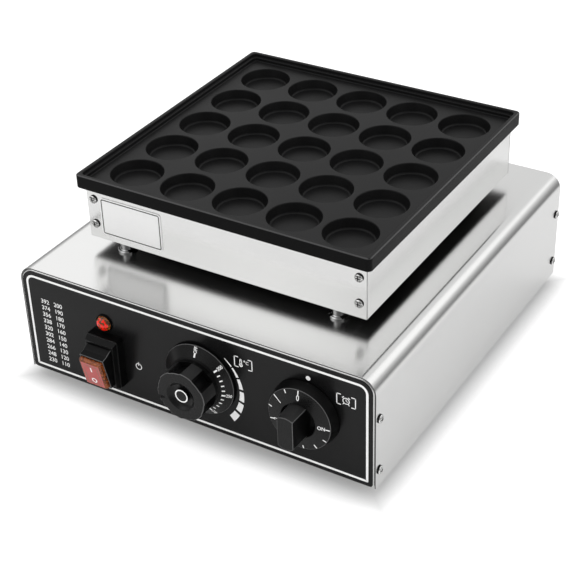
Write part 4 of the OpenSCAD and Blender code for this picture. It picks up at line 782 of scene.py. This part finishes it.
# Thermostat scale: stamped in white ink on the knob's conical skirt, and a white ring on its cap.
# There are no marks between OFF and the lowest heat.
DIAL_STEP, LOWEST_STEP, LAST_STEP = 52.0, 10, 30
CONE_TOP, CONE_SLOPE = 3.15, 0.525
SHORT_MARK, LONG_MARK, HEAT_R = (24.7, 27.0, 1.1), (24.5, 27.4, 1.5), 29.9
HEAT_SIZE, HEAT_SQUEEZE, HEAT_BOLD = 4.4, 0.66, 0.05
CAP_RING = (6.0, 4.9, 48)


def on_cone(mesh, outer_r, z, slope):
    """Lays flat marks on a cone."""
    for mark in mesh.verts:
        mark.co.z += z + (outer_r - math.hypot(mark.co.x, mark.co.y)) * slope


def radial(mesh, turn, first, last, width):
    """Bar that points at the dial's middle, turned clockwise from the top."""
    angle = math.radians(90 - turn)
    middle = (first + last) / 2
    bar(mesh, middle * math.cos(angle), middle * math.sin(angle), last - first, width, 90 - turn)


def radial_digits(mesh, text, turn, r, *style):
    """Digits on a dial, at a turn clockwise from the top."""
    angle = math.radians(90 - turn)
    digits(mesh, text, r * math.cos(angle), r * math.sin(angle), *style)


dial = bmesh.new()
for step in [0, *range(LOWEST_STEP, LAST_STEP + 1)]:
    turn = -step * DIAL_STEP / 5
    if step % 5:
        radial(dial, turn, *SHORT_MARK)
        continue
    radial(dial, turn, *LONG_MARK)
    heat = str(step * 10) if step else "OFF"
    radial_digits(dial, heat, turn, HEAT_R, HEAT_SIZE, 90 - turn, HEAT_SQUEEZE, HEAT_BOLD)
bmesh.ops.triangulate(dial, faces=dial.faces)
raise_ink(dial)
on_cone(dial, SKIRT_R, CONE_TOP, CONE_SLOPE)
dial.transform(on_face(*THERMOSTAT))
add_piece("thermostat_scale", dial, "thermostat_dial", "black_plastic", white_ink)
cap_ring = bmesh.new()
ring(cap_ring, 0, 0, *CAP_RING)
raise_ink(cap_ring)
cap_ring.transform(on_face(*THERMOSTAT, CAP_FACE))
add_piece("cap_ring", cap_ring, "thermostat_dial", "black_plastic", white_ink)


# Timer knob: black moulding pushed onto its shaft, with a round dial and a bar grip.
# The bar stands across a hollow in the dial's face, drafted and with small round edges.
TIMER = (279.0, 54.0)
DIAL_R, DIAL_H, DIAL_SIDES, HOLLOW_R, HOLLOW_SLOPE, HOLLOW_Z = 30.0, 13.0, 128, 15.2, 3.0, 7.0
BAR_W, BAR_REACH, BAR_DRAFT, BAR_EDGE, BAR_SUNK, BAR_GAP, BAR_SIDES = 14.8, 32.0, 0.5, 0.45, 0.5, 0.05, 96
FACE_R, FACE_Z, FACE_SLOPE, DIAL_EDGE_R, BAR_END = 27.3, 11.1, 0.165, 20, 0.6
timer = bmesh.new()
timer_section = [(0.0, 4.0), (DIAL_R - 2.5, 4.0), (DIAL_R - 2.5, KNOB_GAP), (DIAL_R - 0.5, KNOB_GAP),
                 (DIAL_R, KNOB_GAP + 0.5)]
timer_section += arc((FACE_R - 0.1, FACE_Z - 0.8), 0.8, 0, 81, 4)
timer_section += arc((HOLLOW_R + 0.6, DIAL_H - 0.6), 0.6, 90, 180, 3)
timer_section += [(HOLLOW_R - HOLLOW_SLOPE, HOLLOW_Z), (0.0, HOLLOW_Z)]
turned(timer, timer_section, DIAL_SIDES)
bmesh.ops.recalc_face_normals(timer, faces=timer.faces)
shade_knob(timer, DIAL_EDGE_R)
grip = bmesh.new()
bmesh.ops.create_circle(grip, cap_ends=True, segments=BAR_SIDES, radius=HOLLOW_R - BAR_GAP,
                        matrix=Matrix.Translation((0, 0, HOLLOW_Z - BAR_SUNK)))
for side in (-1, 1):
    bmesh.ops.bisect_plane(grip, geom=grip.verts[:] + grip.edges[:] + grip.faces[:],
                           plane_co=(side * BAR_W / 2, 0, 0), plane_no=(side, 0, 0), clear_outer=True)
push_out(grip, grip.faces[:], BAR_REACH - HOLLOW_Z + BAR_SUNK)
bmesh.ops.recalc_face_normals(grip, faces=grip.faces)
for vert in grip.verts:
    vert.co.x *= 1 - BAR_DRAFT / BAR_W * 2 * (vert.co.z - HOLLOW_Z) / (BAR_REACH - HOLLOW_Z)
sharp = [e for e in grip.edges if len(e.link_faces) == 2 and e.calc_face_angle() > SHARP
         and max(v.co.z for v in e.verts) > DIAL_H]
round_edges(grip, sharp, BAR_EDGE, 2)
# The bar's sides are painted dark as shade and its ends paler as lit, with its round edges painted as
# highlights.
for part in grip.faces:
    if part.material_index != 2 and part.normal.z < WALL_TILT:
        part.material_index = 3 if abs(part.normal.y) > BAR_END else 1
grip_mesh = bpy.data.meshes.new("grip")
grip.to_mesh(grip_mesh)
grip.free()
timer.from_mesh(grip_mesh)
bpy.data.meshes.remove(grip_mesh)
timer.transform(on_face(*TIMER))
stand_in("timer_knob", "bar_knob", timer, "timer_dial", "black_plastic", black_moulding, painted_shade_black,
         painted_edge_highlight, painted_lit_grip)

# Timer scale: stamped in white ink on the sloping face of the dial.
# It runs in whole and half minutes, with an ON mark on the other side for no limit.
MINUTE_STEP, ON_TURN, TIMER_STEPS, NUMBERED_STEPS = 26.8, 92.0, 10, 6
WHOLE_R, HALF_R, ON_R, MARK_END, MARK_W = 23.6, 24.2, 23.8, 27.4, 0.9
MINUTE_R, MINUTE_SIZE, MINUTE_SQUEEZE, MINUTE_BOLD = 20.9, 6.8, 0.8, 0.06
WORD_R, WORD_SIZE, WORD_SQUEEZE = 20.4, 4.8, 0.85
minutes = bmesh.new()
for step in range(TIMER_STEPS):
    turn = -step * MINUTE_STEP
    whole = step % 2 == 0
    radial(minutes, turn, WHOLE_R if whole else HALF_R, MARK_END, MARK_W)
    if whole and step < NUMBERED_STEPS:
        minute = str(step // 2)
        radial_digits(minutes, minute, turn, MINUTE_R, MINUTE_SIZE, -turn, MINUTE_SQUEEZE, MINUTE_BOLD)
radial(minutes, ON_TURN, ON_R, MARK_END, MARK_W)
radial_digits(minutes, "ON", ON_TURN, WORD_R, WORD_SIZE, 90 - ON_TURN, WORD_SQUEEZE, MINUTE_BOLD)
raise_ink(minutes)
on_cone(minutes, FACE_R, FACE_Z, FACE_SLOPE)
minutes.transform(on_face(*TIMER))
add_piece("timer_scale", minutes, "timer_dial", "black_plastic", white_ink)
